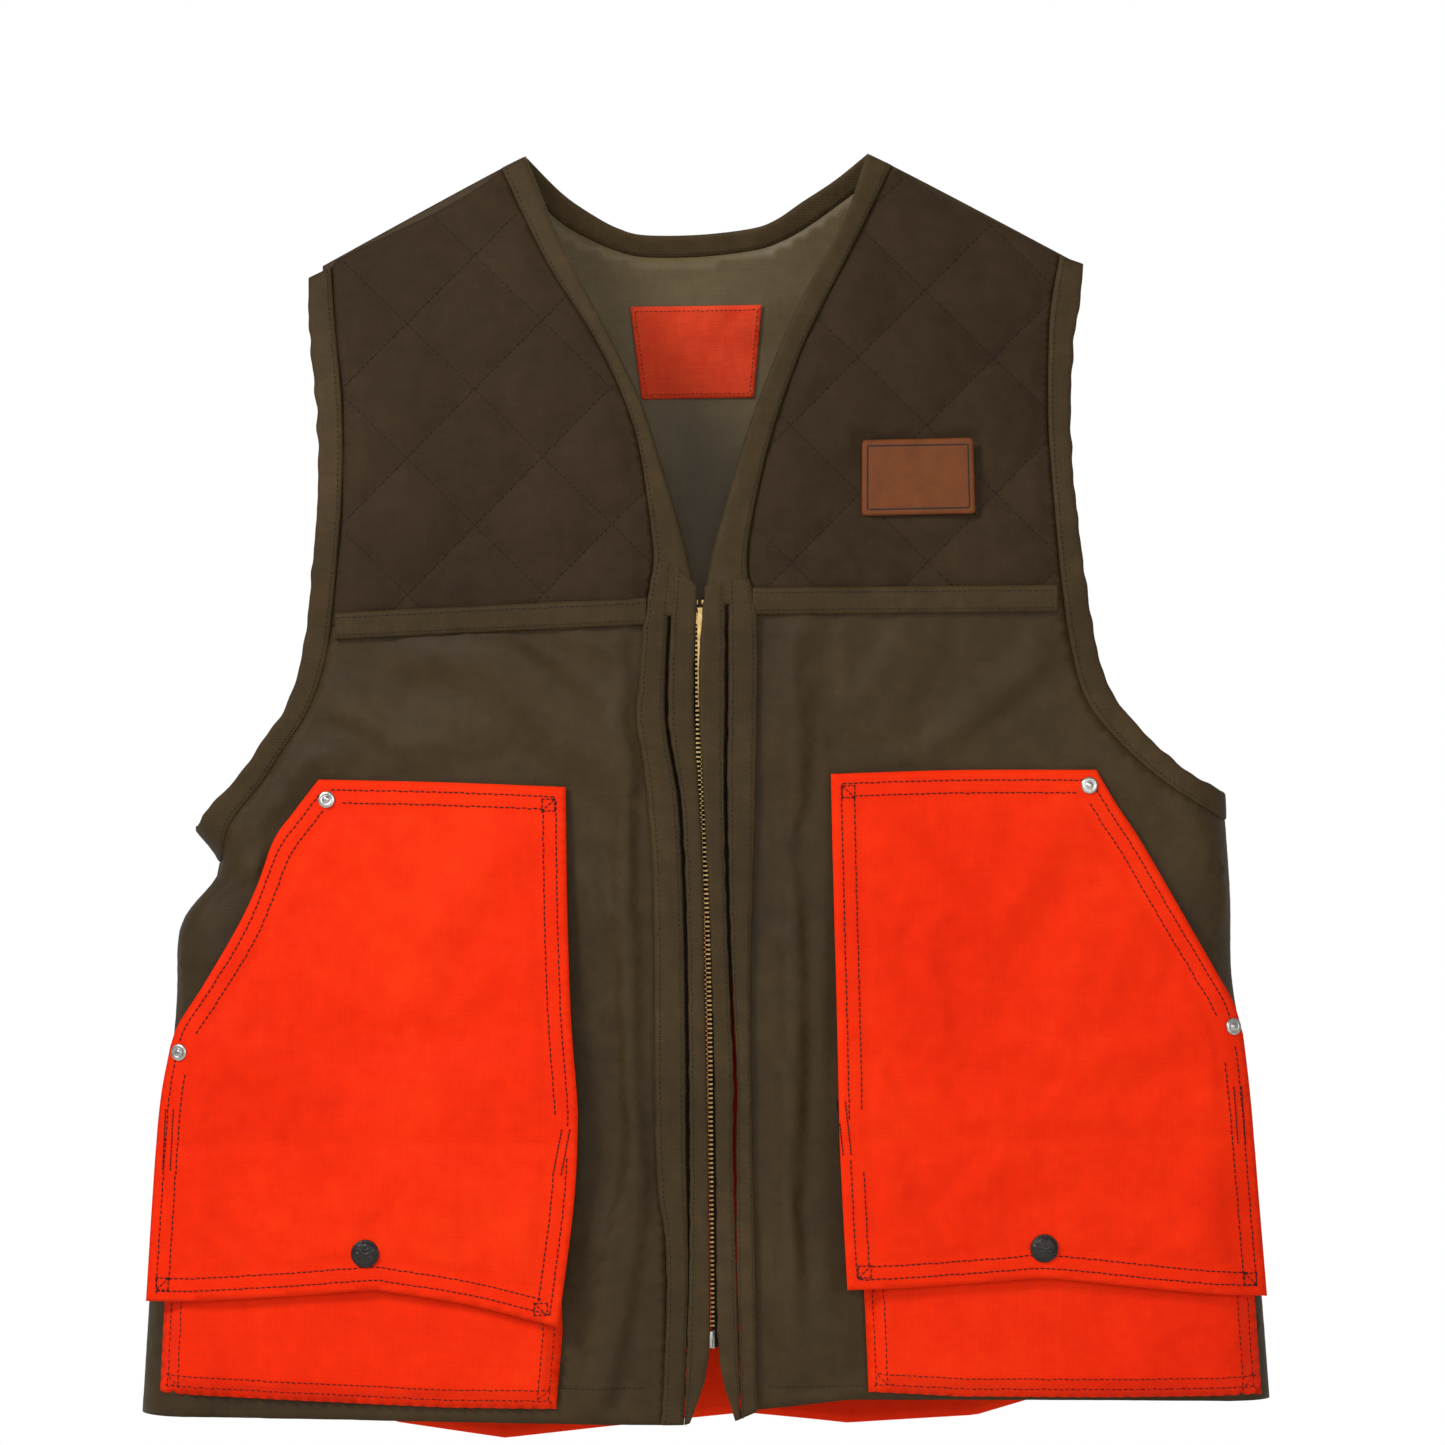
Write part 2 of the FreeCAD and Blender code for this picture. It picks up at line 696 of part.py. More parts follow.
def build_flap(side):
    body = new_body("flap_" + side_name(side),
                    flank_place(side, size("pocket_gap") + size("flap_back")))
    inner = signed(side, "Sizes.pocket_inner")
    top = "Sizes.hinge_z - Sizes.hinge_clear"
    outline = [(inner, top), (signed(side, "Sizes.pocket_outer"), top),
               (signed(side, "Sizes.flap_outer"), "Sizes.flap_bottom_outer_z"),
               (signed(side, "Sizes.snap_across"), "Sizes.flap_bottom_mid_z"),
               (inner, "Sizes.flap_bottom_inner_z")]
    pad(body, "Cloth", polygon_sketch(body, "Outline", "XZ_Plane", outline), "Sizes.cloth_thick")
    hole = [(signed(side, "Sizes.snap_across"), "Sizes.snap_z", "Sizes.snap_hole")]
    pocket(body, "CapHole", circle_sketch(body, "Hole", "XZ_Plane", hole), "Sizes.cut_through",
           both=True)


def facing_front(place):
    """Turns a piece modelled about its own Z axis so that +Z points out of the flank."""
    return place.multiply(FreeCAD.Placement(V(0, 0, 0), FreeCAD.Rotation(V(1, 0, 0), 90)))


def snap_place(side, forward):
    place = flank_place(side, size("pocket_gap") + forward)
    move = FreeCAD.Placement(V(side * size("snap_across"), 0, size("snap_z")), FreeCAD.Rotation())
    return facing_front(place.multiply(move))


def turned(label, place, profile):
    """A turned piece: the profile is (radius expression, height expression) about its Z axis."""
    body = new_body(label, place)
    revolve(body, "Turned", polygon_sketch(body, "Profile", "XZ_Plane", profile))


def build_snap(side):
    name = side_name(side)
    cloth = "Sizes.cloth_thick"
    cap = [("0", "-" + cloth), ("Sizes.snap_shank", "-" + cloth), ("Sizes.snap_shank", "0"),
           ("Sizes.snap_radius", "0"), ("Sizes.snap_radius", "0.25 * Sizes.snap_dome"),
           ("0.86 * Sizes.snap_radius", "0.68 * Sizes.snap_dome"),
           ("0.55 * Sizes.snap_radius", "0.92 * Sizes.snap_dome"), ("0", "Sizes.snap_dome")]
    cap_seat = size("flap_back") + size("cloth_thick") + size("snap_seat")
    turned("snap_cap_" + name, snap_place(side, cap_seat), cap)
    socket = [("Sizes.socket_bore", "-Sizes.socket_thick"),
              ("Sizes.socket_radius", "-Sizes.socket_thick"),
              ("Sizes.socket_radius", "0"), ("Sizes.socket_bore", "0")]
    turned("snap_socket_" + name, snap_place(side, size("flap_back")), socket)
    stud = [("0", "-" + cloth), ("Sizes.snap_shank", "-" + cloth), ("Sizes.snap_shank", "0"),
            ("Sizes.socket_radius", "0"), ("Sizes.socket_radius", "Sizes.stud_base"),
            ("0.85 * Sizes.stud_knob", "Sizes.stud_base"),
            ("Sizes.stud_knob", "Sizes.stud_height - Sizes.stud_bulge"),
            ("0.85 * Sizes.stud_knob", "Sizes.stud_height"), ("0", "Sizes.stud_height")]
    turned("snap_stud_" + name, snap_place(side, size("pouch_deep") + size("snap_seat")), stud)
    post = [("0", "-Sizes.post_thick"), ("Sizes.socket_radius", "-Sizes.post_thick"),
            ("Sizes.socket_radius", "0"), ("0", "0")]
    turned("snap_post_" + name, snap_place(side, size("pouch_deep") - size("cloth_thick")), post)


def rivet_solid():
    """A domed head at and above Z = 0 with its shank below, through the cloth and the burr."""
    radius = size("rivet_radius")
    rim = 0.3 * size("rivet_dome")
    rise = size("rivet_dome") - rim
    ball = (radius ** 2 + rise ** 2) / (2 * rise)
    dome = Part.makeSphere(ball, V(0, 0, rim + rise - ball))
    head = Part.makeCylinder(radius, size("rivet_dome") + 1).common(dome)
    deep = size("cloth_thick") + size("burr_thick")
    shank = Part.makeCylinder(size("rivet_shank"), deep + 0.5 * rim, V(0, 0, -deep))
    return head.fuse(shank).removeSplitter().Solids[0]


def burr_solid():
    thick = size("burr_thick")
    base = V(0, 0, -size("cloth_thick") - thick)
    disc = Part.makeCylinder(size("burr_radius"), thick, base)
    return disc.cut(Part.makeCylinder(size("rivet_shank"), thick, base))


def build_rivets():
    places = []
    for side in (1, -1):
        frame = upper_pocket_place(side)
        for x, z in rivet_spots():
            spot = V(side * sheet.evalExpression(x), -size("cloth_thick"), sheet.evalExpression(z))
            places.append(facing_front(frame.multiply(FreeCAD.Placement(spot, FreeCAD.Rotation()))))
    for label, solid in (("pocket_rivets", rivet_solid()), ("rivet_burrs", burr_solid())):
        copies = [solid.transformed(p.toMatrix(), True) for p in places]
        add_feature(label, Part.makeCompound(copies))


# ---------------------------------------------------------------------------------------------
# Zipper
# ---------------------------------------------------------------------------------------------

def zip_box(x0, x1, off0, off1, z0, z1):
    """A box at the centre front, between two offsets in front of the skin."""
    depth = size("centre_depth")
    return Part.makeBox(x1 - x0, off1 - off0, z1 - z0, V(x0, -depth - off1, z0))


def build_zipper_side(side):
    name = side_name(side)
    half = size("zip_tape_half_thick")
    top = size("zip_top_z") + size("tape_above")
    bottom = size("zip_bottom_z")
    inner = size("zip_tape_inner")
    tape = zip_box(inner, size("placket_inner") - 10 * size("hair"), -half, half, bottom, top)
    thick = size("tooth_half_thick")
    reach = size("tooth_reach")
    pitch = size("tooth_pitch")
    start = bottom + size("box_height") + size("tooth_clear")
    end = size("slider_top_z") - size("bridge_height") - size("slider_clear")
    bead = zip_box(inner - size("bead_in"), reach, -thick, thick, start, end)
    count = int((end - start) / pitch)
    phase = 0.0 if side > 0 else pitch / 2
    gaps = [zip_box(-inner, inner + size("nose_past_tape"), -2 * thick, 2 * thick,
                    start + i * pitch + phase, start + (i + 0.5) * pitch + phase)
            for i in range(count)]
    teeth = bead.cut(Part.makeCompound(gaps))
    teeth = teeth.cut(zip_box(inner, size("cut_short"), -half, half, bottom, top))
    for label, shape in (("zipper_tape_" + name, tape), ("zipper_teeth_" + name, teeth)):
        if side < 0:
            shape = shape.mirror(V(0, 0, 0), V(1, 0, 0))
        add_feature(label, shape)


def tape_slot(side, x_from, bottom, top):
    """The room that a tape takes in a metal end piece."""
    half = size("zip_tape_half_thick")
    far = size("cut_short")
    slot = zip_box(x_from, far, -half, half, bottom - far, top + far)
    return slot if side > 0 else slot.mirror(V(0, 0, 0), V(1, 0, 0))


def build_zipper_ends():
    top = size("zip_top_z")
    thick = size("tooth_half_thick")
    inner = size("zip_tape_inner")
    stops = []
    for side in (1, -1):
        stop = zip_box(size("stop_inner"), size("tooth_reach"), -thick, thick,
                       top, top + size("stop_height"))
        stop = stop.cut(tape_slot(1, inner, top, top))
        stops.append(stop if side > 0 else stop.mirror(V(0, 0, 0), V(1, 0, 0)))
    add_feature("zipper_top_stops", Part.makeCompound(stops))
    bottom = size("zip_bottom_z")
    low = bottom - size("box_below")
    high = bottom + size("box_height")
    thick = size("box_half_thick")
    box = zip_box(-size("box_half_width"), size("box_far_side"), -thick, thick, low, high)
    add_feature("zipper_box", box.cut(tape_slot(-1, inner, low, high)))
    thick = size("pin_half_thick")
    pin = zip_box(size("pin_inner"), size("pin_outer"), -thick, thick, low, high)
    add_feature("zipper_pin", pin.cut(tape_slot(1, inner, low, high)))


def build_slider():
    """Two plates joined by a bridge between the tapes, with ears and a pin for the pull."""
    place = FreeCAD.Placement(V(0, -size("centre_depth"), size("slider_top_z")), FreeCAD.Rotation())
    body = new_body("zipper_slider", place)
    wide = "Sizes.slider_half_width"
    tall = "-Sizes.slider_length"
    shoulder = "-Sizes.slider_chamfer"
    plate = [("-" + wide, shoulder), ("-0.6 * " + wide, "0"), ("0.6 * " + wide, "0"),
             (wide, shoulder), ("0.72 * " + wide, tall), ("-0.72 * " + wide, tall)]
    pad(body, "Whole", polygon_sketch(body, "Plate", "XZ_Plane", plate),
        "2 * (Sizes.slider_gap + Sizes.slider_plate)", both=True)
    doc.recompute()
    before = body.Shape.Volume
    slot_slider(body, tall)
    doc.recompute()
    if not body.Shape.Volume < before:
        raise RuntimeError("the slider was not slotted")
    add_crown(body)


def slot_slider(body, tall):
    """The ways for the teeth: two above, either side of the bridge, that join below it."""
    far = "Sizes.cut_short"
    over = "Sizes.slider_chamfer + Sizes.crown_clear"
    under = "%s - (%s)" % (tall, over)
    bridge = "-Sizes.bridge_height"
    for name, sign in (("Left", "1"), ("Right", "-1")):
        near = sign + " * Sizes.bridge_half_width"
        edge = sign + " * Sizes.hair"
        slot = [(near, over), (sign + " * " + far, over), (sign + " * " + far, under),
                (edge, under), (edge, bridge), (near, bridge)]
        pocket(body, name + "Slot", polygon_sketch(body, name + "Way", "XZ_Plane", slot),
               "2 * Sizes.slider_gap", both=True)
    below = [("-2 * Sizes.hair", bridge), ("2 * Sizes.hair", bridge),
             ("2 * Sizes.hair", under), ("-2 * Sizes.hair", under)]
    pocket(body, "MiddleSlot", polygon_sketch(body, "MiddleWay", "XZ_Plane", below),
           "2 * Sizes.slider_gap", both=True)


def add_crown(body):
    """Two ears on the front plate, with the pin that the pull hangs from."""
    face = "-(Sizes.slider_gap + Sizes.slider_plate)"
    tip = face + " - Sizes.crown_height"
    past = tip + " - Sizes.crown_clear"
    high = "-Sizes.crown_top"
    low = "-Sizes.crown_bottom"
    ears = [(face, low), (face, high), (tip, high), (tip, low)]
    pad(body, "Ears", polygon_sketch(body, "Ear", "YZ_Plane", ears),
        "2 * Sizes.crown_half_width", both=True)
    doc.recompute()
    before = body.Shape.Volume
    high = "Sizes.crown_clear - Sizes.crown_top"
    low = "-Sizes.crown_clear - Sizes.crown_bottom"
    gap = [(face, low), (face, high), (past, high), (past, low)]
    pocket(body, "EarGap", polygon_sketch(body, "Gap", "YZ_Plane", gap),
           "2 * Sizes.crown_gap_half", both=True)
    doc.recompute()
    if not body.Shape.Volume < before:
        raise RuntimeError("the slider's ears were not parted")
    pin = [(face + " - Sizes.crown_pin_off", "-Sizes.crown_pin_below", "Sizes.pull_pin_radius")]
    pad(body, "Pin", circle_sketch(body, "PinRound", "YZ_Plane", pin),
        "2 * Sizes.crown_half_width", both=True)


def pull_axis():
    """Where the slider's pin lies: its distance in front of the middle plane, and its height."""
    forward = size("centre_depth") + size("slider_gap") + size("slider_plate") + size("crown_pin_off")
    return forward, size("slider_top_z") - size("crown_pin_below")


def build_pull():
    forward, z = pull_axis()
    body = new_body("zipper_pull", FreeCAD.Placement(V(0, -forward, z), FreeCAD.Rotation()))
    half = "Sizes.pull_half_width"
    back = "Sizes.pull_thick / 2"
    side_view = [("-" + back, "Sizes.pull_above_pin"), (back, "Sizes.pull_above_pin"),
                 (back, "-Sizes.pull_length"), ("-" + back, "-Sizes.pull_length")]
    pad(body, "Bar", polygon_sketch(body, "SideView", "YZ_Plane", side_view), "2 * " + half, both=True)
    eye = [("0", "0", "Sizes.pull_pin_radius + Sizes.pull_eye_clear")]
    pocket(body, "Eye", circle_sketch(body, "EyeRound", "YZ_Plane", eye), "Sizes.cut_short",
           both=True)


# ---------------------------------------------------------------------------------------------
# Build, check and write
# ---------------------------------------------------------------------------------------------

def check_document():
    for item in doc.Objects:
        if "Invalid" in item.State or "Error" in item.State:
            raise RuntimeError("%s failed: %s" % (item.Name, item.State))
    for node in nodes:
        if node.Shape.isNull() or not node.Shape.isValid() or node.Shape.Volume <= 0:
            raise RuntimeError("%s has no valid shape" % node.Label)


def main():
    for side in (1, -1):
        build_front(side)
        build_armhole(side)
        build_pocket_panel(side)
        build_pouch(side)
        build_flap(side)
        build_snap(side)
        build_zipper_side(side)
    build_back()
    build_game_bag()
    build_trimmings()
    build_rivets()
    build_zipper_ends()
    build_slider()
    build_pull()
    doc.recompute()
    check_document()
    os.makedirs("parts", exist_ok=True)
    for node in nodes:
        node.Shape.exportStep("parts/%s.step" % node.Label)


main()
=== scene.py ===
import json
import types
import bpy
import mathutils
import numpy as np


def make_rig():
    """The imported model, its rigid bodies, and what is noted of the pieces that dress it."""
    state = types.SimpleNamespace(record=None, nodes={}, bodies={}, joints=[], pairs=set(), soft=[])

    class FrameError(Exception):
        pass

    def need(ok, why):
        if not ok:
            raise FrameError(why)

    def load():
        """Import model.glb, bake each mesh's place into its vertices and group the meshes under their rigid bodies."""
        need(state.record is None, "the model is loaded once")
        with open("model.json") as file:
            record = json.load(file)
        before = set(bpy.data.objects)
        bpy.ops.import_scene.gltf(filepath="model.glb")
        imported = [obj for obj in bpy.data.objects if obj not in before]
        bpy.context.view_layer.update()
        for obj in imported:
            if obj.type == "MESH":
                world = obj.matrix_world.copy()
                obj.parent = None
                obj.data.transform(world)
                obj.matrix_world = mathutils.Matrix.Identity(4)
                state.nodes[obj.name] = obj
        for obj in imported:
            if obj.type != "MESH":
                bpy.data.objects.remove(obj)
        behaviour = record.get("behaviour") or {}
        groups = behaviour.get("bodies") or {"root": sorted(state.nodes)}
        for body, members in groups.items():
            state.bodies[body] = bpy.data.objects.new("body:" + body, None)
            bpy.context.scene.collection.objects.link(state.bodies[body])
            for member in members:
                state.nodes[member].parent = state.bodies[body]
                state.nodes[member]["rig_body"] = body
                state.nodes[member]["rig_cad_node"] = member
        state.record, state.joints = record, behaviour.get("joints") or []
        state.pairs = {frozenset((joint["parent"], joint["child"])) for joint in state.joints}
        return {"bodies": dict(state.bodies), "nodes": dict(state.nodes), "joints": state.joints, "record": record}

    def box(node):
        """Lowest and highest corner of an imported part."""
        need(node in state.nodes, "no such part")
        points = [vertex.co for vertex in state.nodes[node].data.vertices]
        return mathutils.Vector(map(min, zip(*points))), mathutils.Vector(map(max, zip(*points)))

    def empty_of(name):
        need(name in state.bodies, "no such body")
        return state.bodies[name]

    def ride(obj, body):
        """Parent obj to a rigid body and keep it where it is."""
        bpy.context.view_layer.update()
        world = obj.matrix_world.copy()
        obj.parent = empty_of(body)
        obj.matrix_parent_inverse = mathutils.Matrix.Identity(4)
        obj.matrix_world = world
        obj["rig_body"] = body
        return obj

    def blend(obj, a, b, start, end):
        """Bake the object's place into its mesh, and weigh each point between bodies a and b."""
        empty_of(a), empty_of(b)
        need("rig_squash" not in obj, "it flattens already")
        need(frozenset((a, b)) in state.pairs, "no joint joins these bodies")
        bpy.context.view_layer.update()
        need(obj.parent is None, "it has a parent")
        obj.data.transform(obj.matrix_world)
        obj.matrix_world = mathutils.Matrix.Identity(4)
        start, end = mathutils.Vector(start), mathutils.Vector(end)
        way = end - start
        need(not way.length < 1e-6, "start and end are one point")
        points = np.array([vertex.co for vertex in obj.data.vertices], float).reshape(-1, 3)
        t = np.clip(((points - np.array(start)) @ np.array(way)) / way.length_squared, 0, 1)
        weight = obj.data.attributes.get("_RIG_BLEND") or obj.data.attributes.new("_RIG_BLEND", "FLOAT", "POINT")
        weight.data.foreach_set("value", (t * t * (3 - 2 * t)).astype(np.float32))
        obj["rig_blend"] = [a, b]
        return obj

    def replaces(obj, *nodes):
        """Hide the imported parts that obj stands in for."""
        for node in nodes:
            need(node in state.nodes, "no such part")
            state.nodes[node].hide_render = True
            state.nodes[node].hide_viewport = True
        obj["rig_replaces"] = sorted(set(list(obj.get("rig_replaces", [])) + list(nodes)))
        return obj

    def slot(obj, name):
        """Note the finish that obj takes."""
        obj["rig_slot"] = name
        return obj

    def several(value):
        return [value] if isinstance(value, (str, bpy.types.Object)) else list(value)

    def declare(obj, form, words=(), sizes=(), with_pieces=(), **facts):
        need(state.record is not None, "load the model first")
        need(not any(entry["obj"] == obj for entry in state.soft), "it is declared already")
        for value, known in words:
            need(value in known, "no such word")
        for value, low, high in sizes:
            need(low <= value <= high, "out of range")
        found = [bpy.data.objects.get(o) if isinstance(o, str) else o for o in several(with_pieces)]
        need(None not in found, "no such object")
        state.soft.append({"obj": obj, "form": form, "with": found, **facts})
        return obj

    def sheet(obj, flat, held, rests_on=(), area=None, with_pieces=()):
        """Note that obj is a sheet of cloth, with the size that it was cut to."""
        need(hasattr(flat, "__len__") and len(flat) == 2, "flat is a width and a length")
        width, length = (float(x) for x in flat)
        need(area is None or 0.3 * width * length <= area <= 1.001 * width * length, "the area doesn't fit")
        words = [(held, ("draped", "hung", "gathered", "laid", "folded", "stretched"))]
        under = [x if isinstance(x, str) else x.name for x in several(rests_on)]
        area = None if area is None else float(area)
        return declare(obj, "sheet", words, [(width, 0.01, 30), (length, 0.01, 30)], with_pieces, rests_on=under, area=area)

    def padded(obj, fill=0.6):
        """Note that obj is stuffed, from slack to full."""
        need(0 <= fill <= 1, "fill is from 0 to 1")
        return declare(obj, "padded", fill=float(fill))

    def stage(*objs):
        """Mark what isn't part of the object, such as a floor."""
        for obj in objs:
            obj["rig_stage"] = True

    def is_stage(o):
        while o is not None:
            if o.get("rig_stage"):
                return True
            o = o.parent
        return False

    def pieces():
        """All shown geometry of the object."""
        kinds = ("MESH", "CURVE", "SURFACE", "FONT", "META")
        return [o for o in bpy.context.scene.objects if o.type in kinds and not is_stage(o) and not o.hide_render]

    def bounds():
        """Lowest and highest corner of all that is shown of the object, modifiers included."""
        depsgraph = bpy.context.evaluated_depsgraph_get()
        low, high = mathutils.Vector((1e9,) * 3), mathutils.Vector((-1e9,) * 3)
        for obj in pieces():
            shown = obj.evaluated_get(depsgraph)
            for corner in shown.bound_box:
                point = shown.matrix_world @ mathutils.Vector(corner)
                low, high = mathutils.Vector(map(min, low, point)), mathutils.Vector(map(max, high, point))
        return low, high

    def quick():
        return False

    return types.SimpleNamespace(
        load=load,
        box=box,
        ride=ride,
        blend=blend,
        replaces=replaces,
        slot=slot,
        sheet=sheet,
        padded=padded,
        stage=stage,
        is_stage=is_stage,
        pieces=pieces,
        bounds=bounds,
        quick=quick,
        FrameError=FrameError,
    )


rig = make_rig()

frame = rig.load()

import json
import math
import random

import bmesh
import bpy
import numpy as np
from mathutils import Vector, noise
from mathutils.bvhtree import BVHTree
from mathutils.geometry import delaunay_2d_cdt

CAD_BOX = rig.bounds()
MM = 0.001
random.seed(7)

# A sleeveless field vest hung by its shoulders. Metres; +X is the wearer's left, -Y the front.
# Outlines are written in millimetres, as half widths (x away from the centre) and heights (z,
# down from the neck points), and side is 1 for the wearer's left, -1 for the right.

# ---------------------------------------------------------------------------------------------
# The draped skin, the same as the design's
# ---------------------------------------------------------------------------------------------

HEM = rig.box("front_panel_left")[0][2]
UNDER_ARM = -360 * MM
WIDTH_TOP = 288 * MM
WIDTH_HEM = 311.5 * MM
CENTRE_DEPTH = 45 * MM
FLANK_START = 60 * MM
FLANK_SLOPE = math.tan(math.radians(5))
SIDE_ROUND = 30 * MM
NECK_HALF = 96 * MM
SHOULDER_SOFT = 40 * MM
SHOULDER_SLOPE = 0.555
SHOULDER_FALL = 200 * MM
SHOULDER_POWER = 2.2
HINGE_Z = next(j for j in frame["joints"] if j["name"] == "flap_left_hinge")["pos_m"][2]


def half_width(z):
    down = min(1.0, max(0.0, (UNDER_ARM - z) / (UNDER_ARM - HEM)))
    return WIDTH_TOP + down * (WIDTH_HEM - WIDTH_TOP)


def shoulder_line(x):
    return SHOULDER_SLOPE * (math.hypot(NECK_HALF, SHOULDER_SOFT) - math.hypot(x, SHOULDER_SOFT))


def skin_depth(x, z):
    flank = FLANK_SLOPE * (math.sqrt((abs(x) - FLANK_START) ** 2 + 1e-4) + abs(x) - FLANK_START) / 2
    fall = min(1.0, (shoulder_line(x) - z) / SHOULDER_FALL)
    swell = SHOULDER_POWER * fall if fall < 0 else 1 - (1 - fall) ** SHOULDER_POWER
    return (CENTRE_DEPTH - flank) * swell


def skin(x, z, offset=0.0, front=True):
    """A point offset outward from the skin, at x (a true front-view coordinate) and height z."""
    flat = half_width(z) - SIDE_ROUND
    past = max(0.0, abs(x) - flat) / (SIDE_ROUND + offset)
    y = (skin_depth(min(abs(x), flat), z) + offset) * math.sqrt(max(0.0, 1 - min(past, 1.0) ** 2))
    return Vector((x, -y if front else y, z))


def flank(side, across, z, forward):
    """A point in front of a flank: across from its start, forward of the skin."""
    turn = math.radians(5)
    return Vector((side * (FLANK_START + across * math.cos(turn)),
                   -CENTRE_DEPTH - forward + across * math.sin(turn), z))


# ---------------------------------------------------------------------------------------------
# Materials
# ---------------------------------------------------------------------------------------------

def srgb(r, g, b):
    def lin(c):
        c /= 255
        return c / 12.92 if c <= 0.04045 else ((c + 0.055) / 1.055) ** 2.4
    return (lin(r), lin(g), lin(b), 1.0)


class Shader:
    """A small builder for one material's nodes."""

    def __init__(self, name):
        self.material = bpy.data.materials.new(name)
        self.material.use_nodes = True
        self.tree = self.material.node_tree
        self.bsdf = self.tree.nodes["Principled BSDF"]
        self.coords = self.node("ShaderNodeTexCoord").outputs["Object"]

    def node(self, kind, **settings):
        made = self.tree.nodes.new(kind)
        for key, value in settings.items():
            if key in made.inputs.keys():
                made.inputs[key].default_value = value
            else:
                setattr(made, key, value)
        return made

    def link(self, a, b):
        self.tree.links.new(a, b)

    def scaled(self, x, y, z):
        mapping = self.node("ShaderNodeMapping")
        mapping.inputs["Scale"].default_value = (x, y, z)
        self.link(self.coords, mapping.inputs["Vector"])
        return mapping.outputs["Vector"]

    def noise(self, scale, detail=3.0, rough=0.55, stretch=(1, 1, 1)):
        made = self.node("ShaderNodeTexNoise", Scale=scale, Detail=detail, Roughness=rough)
        self.link(self.scaled(*stretch), made.inputs["Vector"])
        return made.outputs["Fac"]

    def wave(self, direction, pitch, distort=0.6):
        made = self.node("ShaderNodeTexWave", Scale=math.pi / (10 * pitch) * 0.64, Distortion=distort)
        made.wave_type = "BANDS"
        made.bands_direction = direction
        made.inputs["Detail"].default_value = 1.0
        made.inputs["Detail Scale"].default_value = 2.0
        self.link(self.coords, made.inputs["Vector"])
        return made.outputs["Fac"]

    def math(self, operation, a, b, clamp=False):
        made = self.node("ShaderNodeMath", operation=operation, use_clamp=clamp)
        for socket, value in zip(made.inputs, (a, b)):
            if hasattr(value, "links"):
                self.link(value, socket)
            else:
                socket.default_value = value
        return made.outputs[0]

    def ramp(self, factor, *stops):
        made = self.node("ShaderNodeValToRGB")
        elements = made.color_ramp.elements
        while len(elements) < len(stops):
            elements.new(0.5)
        for element, (place, colour) in zip(elements, stops):
            element.position = place
            element.color = colour
        self.link(factor, made.inputs["Fac"])
        return made.outputs["Color"]

    def mix(self, factor, a, b, blend="MIX"):
        made = self.node("ShaderNodeMix", data_type="RGBA", blend_type=blend)
        for socket, value in zip((made.inputs[0], made.inputs[6], made.inputs[7]), (factor, a, b)):
            if hasattr(value, "links"):
                self.link(value, socket)
            else:
                socket.default_value = value
        return made.outputs[2]

    def bump(self, height, strength, distance, after=None):
        made = self.node("ShaderNodeBump", Strength=strength, Distance=distance)
        self.link(height, made.inputs["Height"])
        if after is not None:
            self.link(after, made.inputs["Normal"])
        return made.outputs["Normal"]

    def finish(self, colour, rough, normal, **fixed):
        self.link(colour, self.bsdf.inputs["Base Color"])
        if hasattr(rough, "links"):
            self.link(rough, self.bsdf.inputs["Roughness"])
        else:
            self.bsdf.inputs["Roughness"].default_value = rough
        if normal is not None:
            self.link(normal, self.bsdf.inputs["Normal"])
        for key, value in fixed.items():
            self.bsdf.inputs[key.replace("_", " ")].default_value = value
        return self.material


def cloth_material(name, dark, base, light, pitch, rough, sheen, weave=0.35, twill=False, slub=0.5,
                   sheen_tint=(1, 1, 1, 1), specular=0.3):
    """Woven cloth: warp and weft bump, slubby yarns, soft random patches of tone that are partly painted sheen, and
    paler sharp convex edges.
    """
    s = Shader(name)
    warp = s.wave("X", pitch)
    weft = s.wave("Z", pitch * 1.15)
    yarns = s.math("MULTIPLY", warp, weft)
    if twill:
        yarns = s.math("MAXIMUM", yarns, s.wave("DIAGONAL", pitch * 2.2, 1.2))
    slubs_x = s.noise(420, 2.0, 0.6, (0.12, 1, 1))
    slubs_z = s.noise(420, 2.0, 0.6, (1, 1, 0.12))
    slubs = s.math("MULTIPLY", slubs_x, slubs_z)
    # Large soft patches of random tone; their lighter patches also stand in for painted sheen across the cloth.
    patches = s.noise(9.0, 4.0, 0.6)
    fine = s.noise(95.0, 3.0, 0.6)
    tone = s.math("ADD", s.math("MULTIPLY", patches, 0.62), s.math("MULTIPLY", fine, 0.38))
    colour = s.ramp(tone, (0.30, dark), (0.50, base), (0.72, light))
    thread = s.ramp(yarns, (0.0, (0.80, 0.80, 0.80, 1)), (1.0, (1.10, 1.10, 1.10, 1)))
    colour = s.mix(1.0, colour, thread, "MULTIPLY")
    slub_tone = s.ramp(slubs, (0.1, (0.88, 0.88, 0.88, 1)), (0.42, (1.12, 1.12, 1.12, 1)))
    colour = s.mix(slub, colour, slub_tone, "MULTIPLY")
    # Paler towards the light colour on sharp convex edges, by the mesh's pointiness.
    edge = s.math("MULTIPLY", s.math("SUBTRACT", s.node("ShaderNodeNewGeometry").outputs["Pointiness"],
                                     0.52, True), 6.0, True)
    colour = s.mix(s.math("MULTIPLY", edge, 0.35), colour, light)
    normal = s.bump(yarns, weave, 0.0004)
    normal = s.bump(slubs, weave * 0.6, 0.0006, normal)
    normal = s.bump(fine, 0.10, 0.002, normal)
    low = s.math("SUBTRACT", rough, 0.06)
    roughness = s.math("ADD", low, s.math("MULTIPLY", fine, 0.12), True)
    return s.finish(colour, roughness, normal, Sheen_Weight=sheen, Sheen_Roughness=0.45,
                    Sheen_Tint=sheen_tint, Specular_IOR_Level=specular)


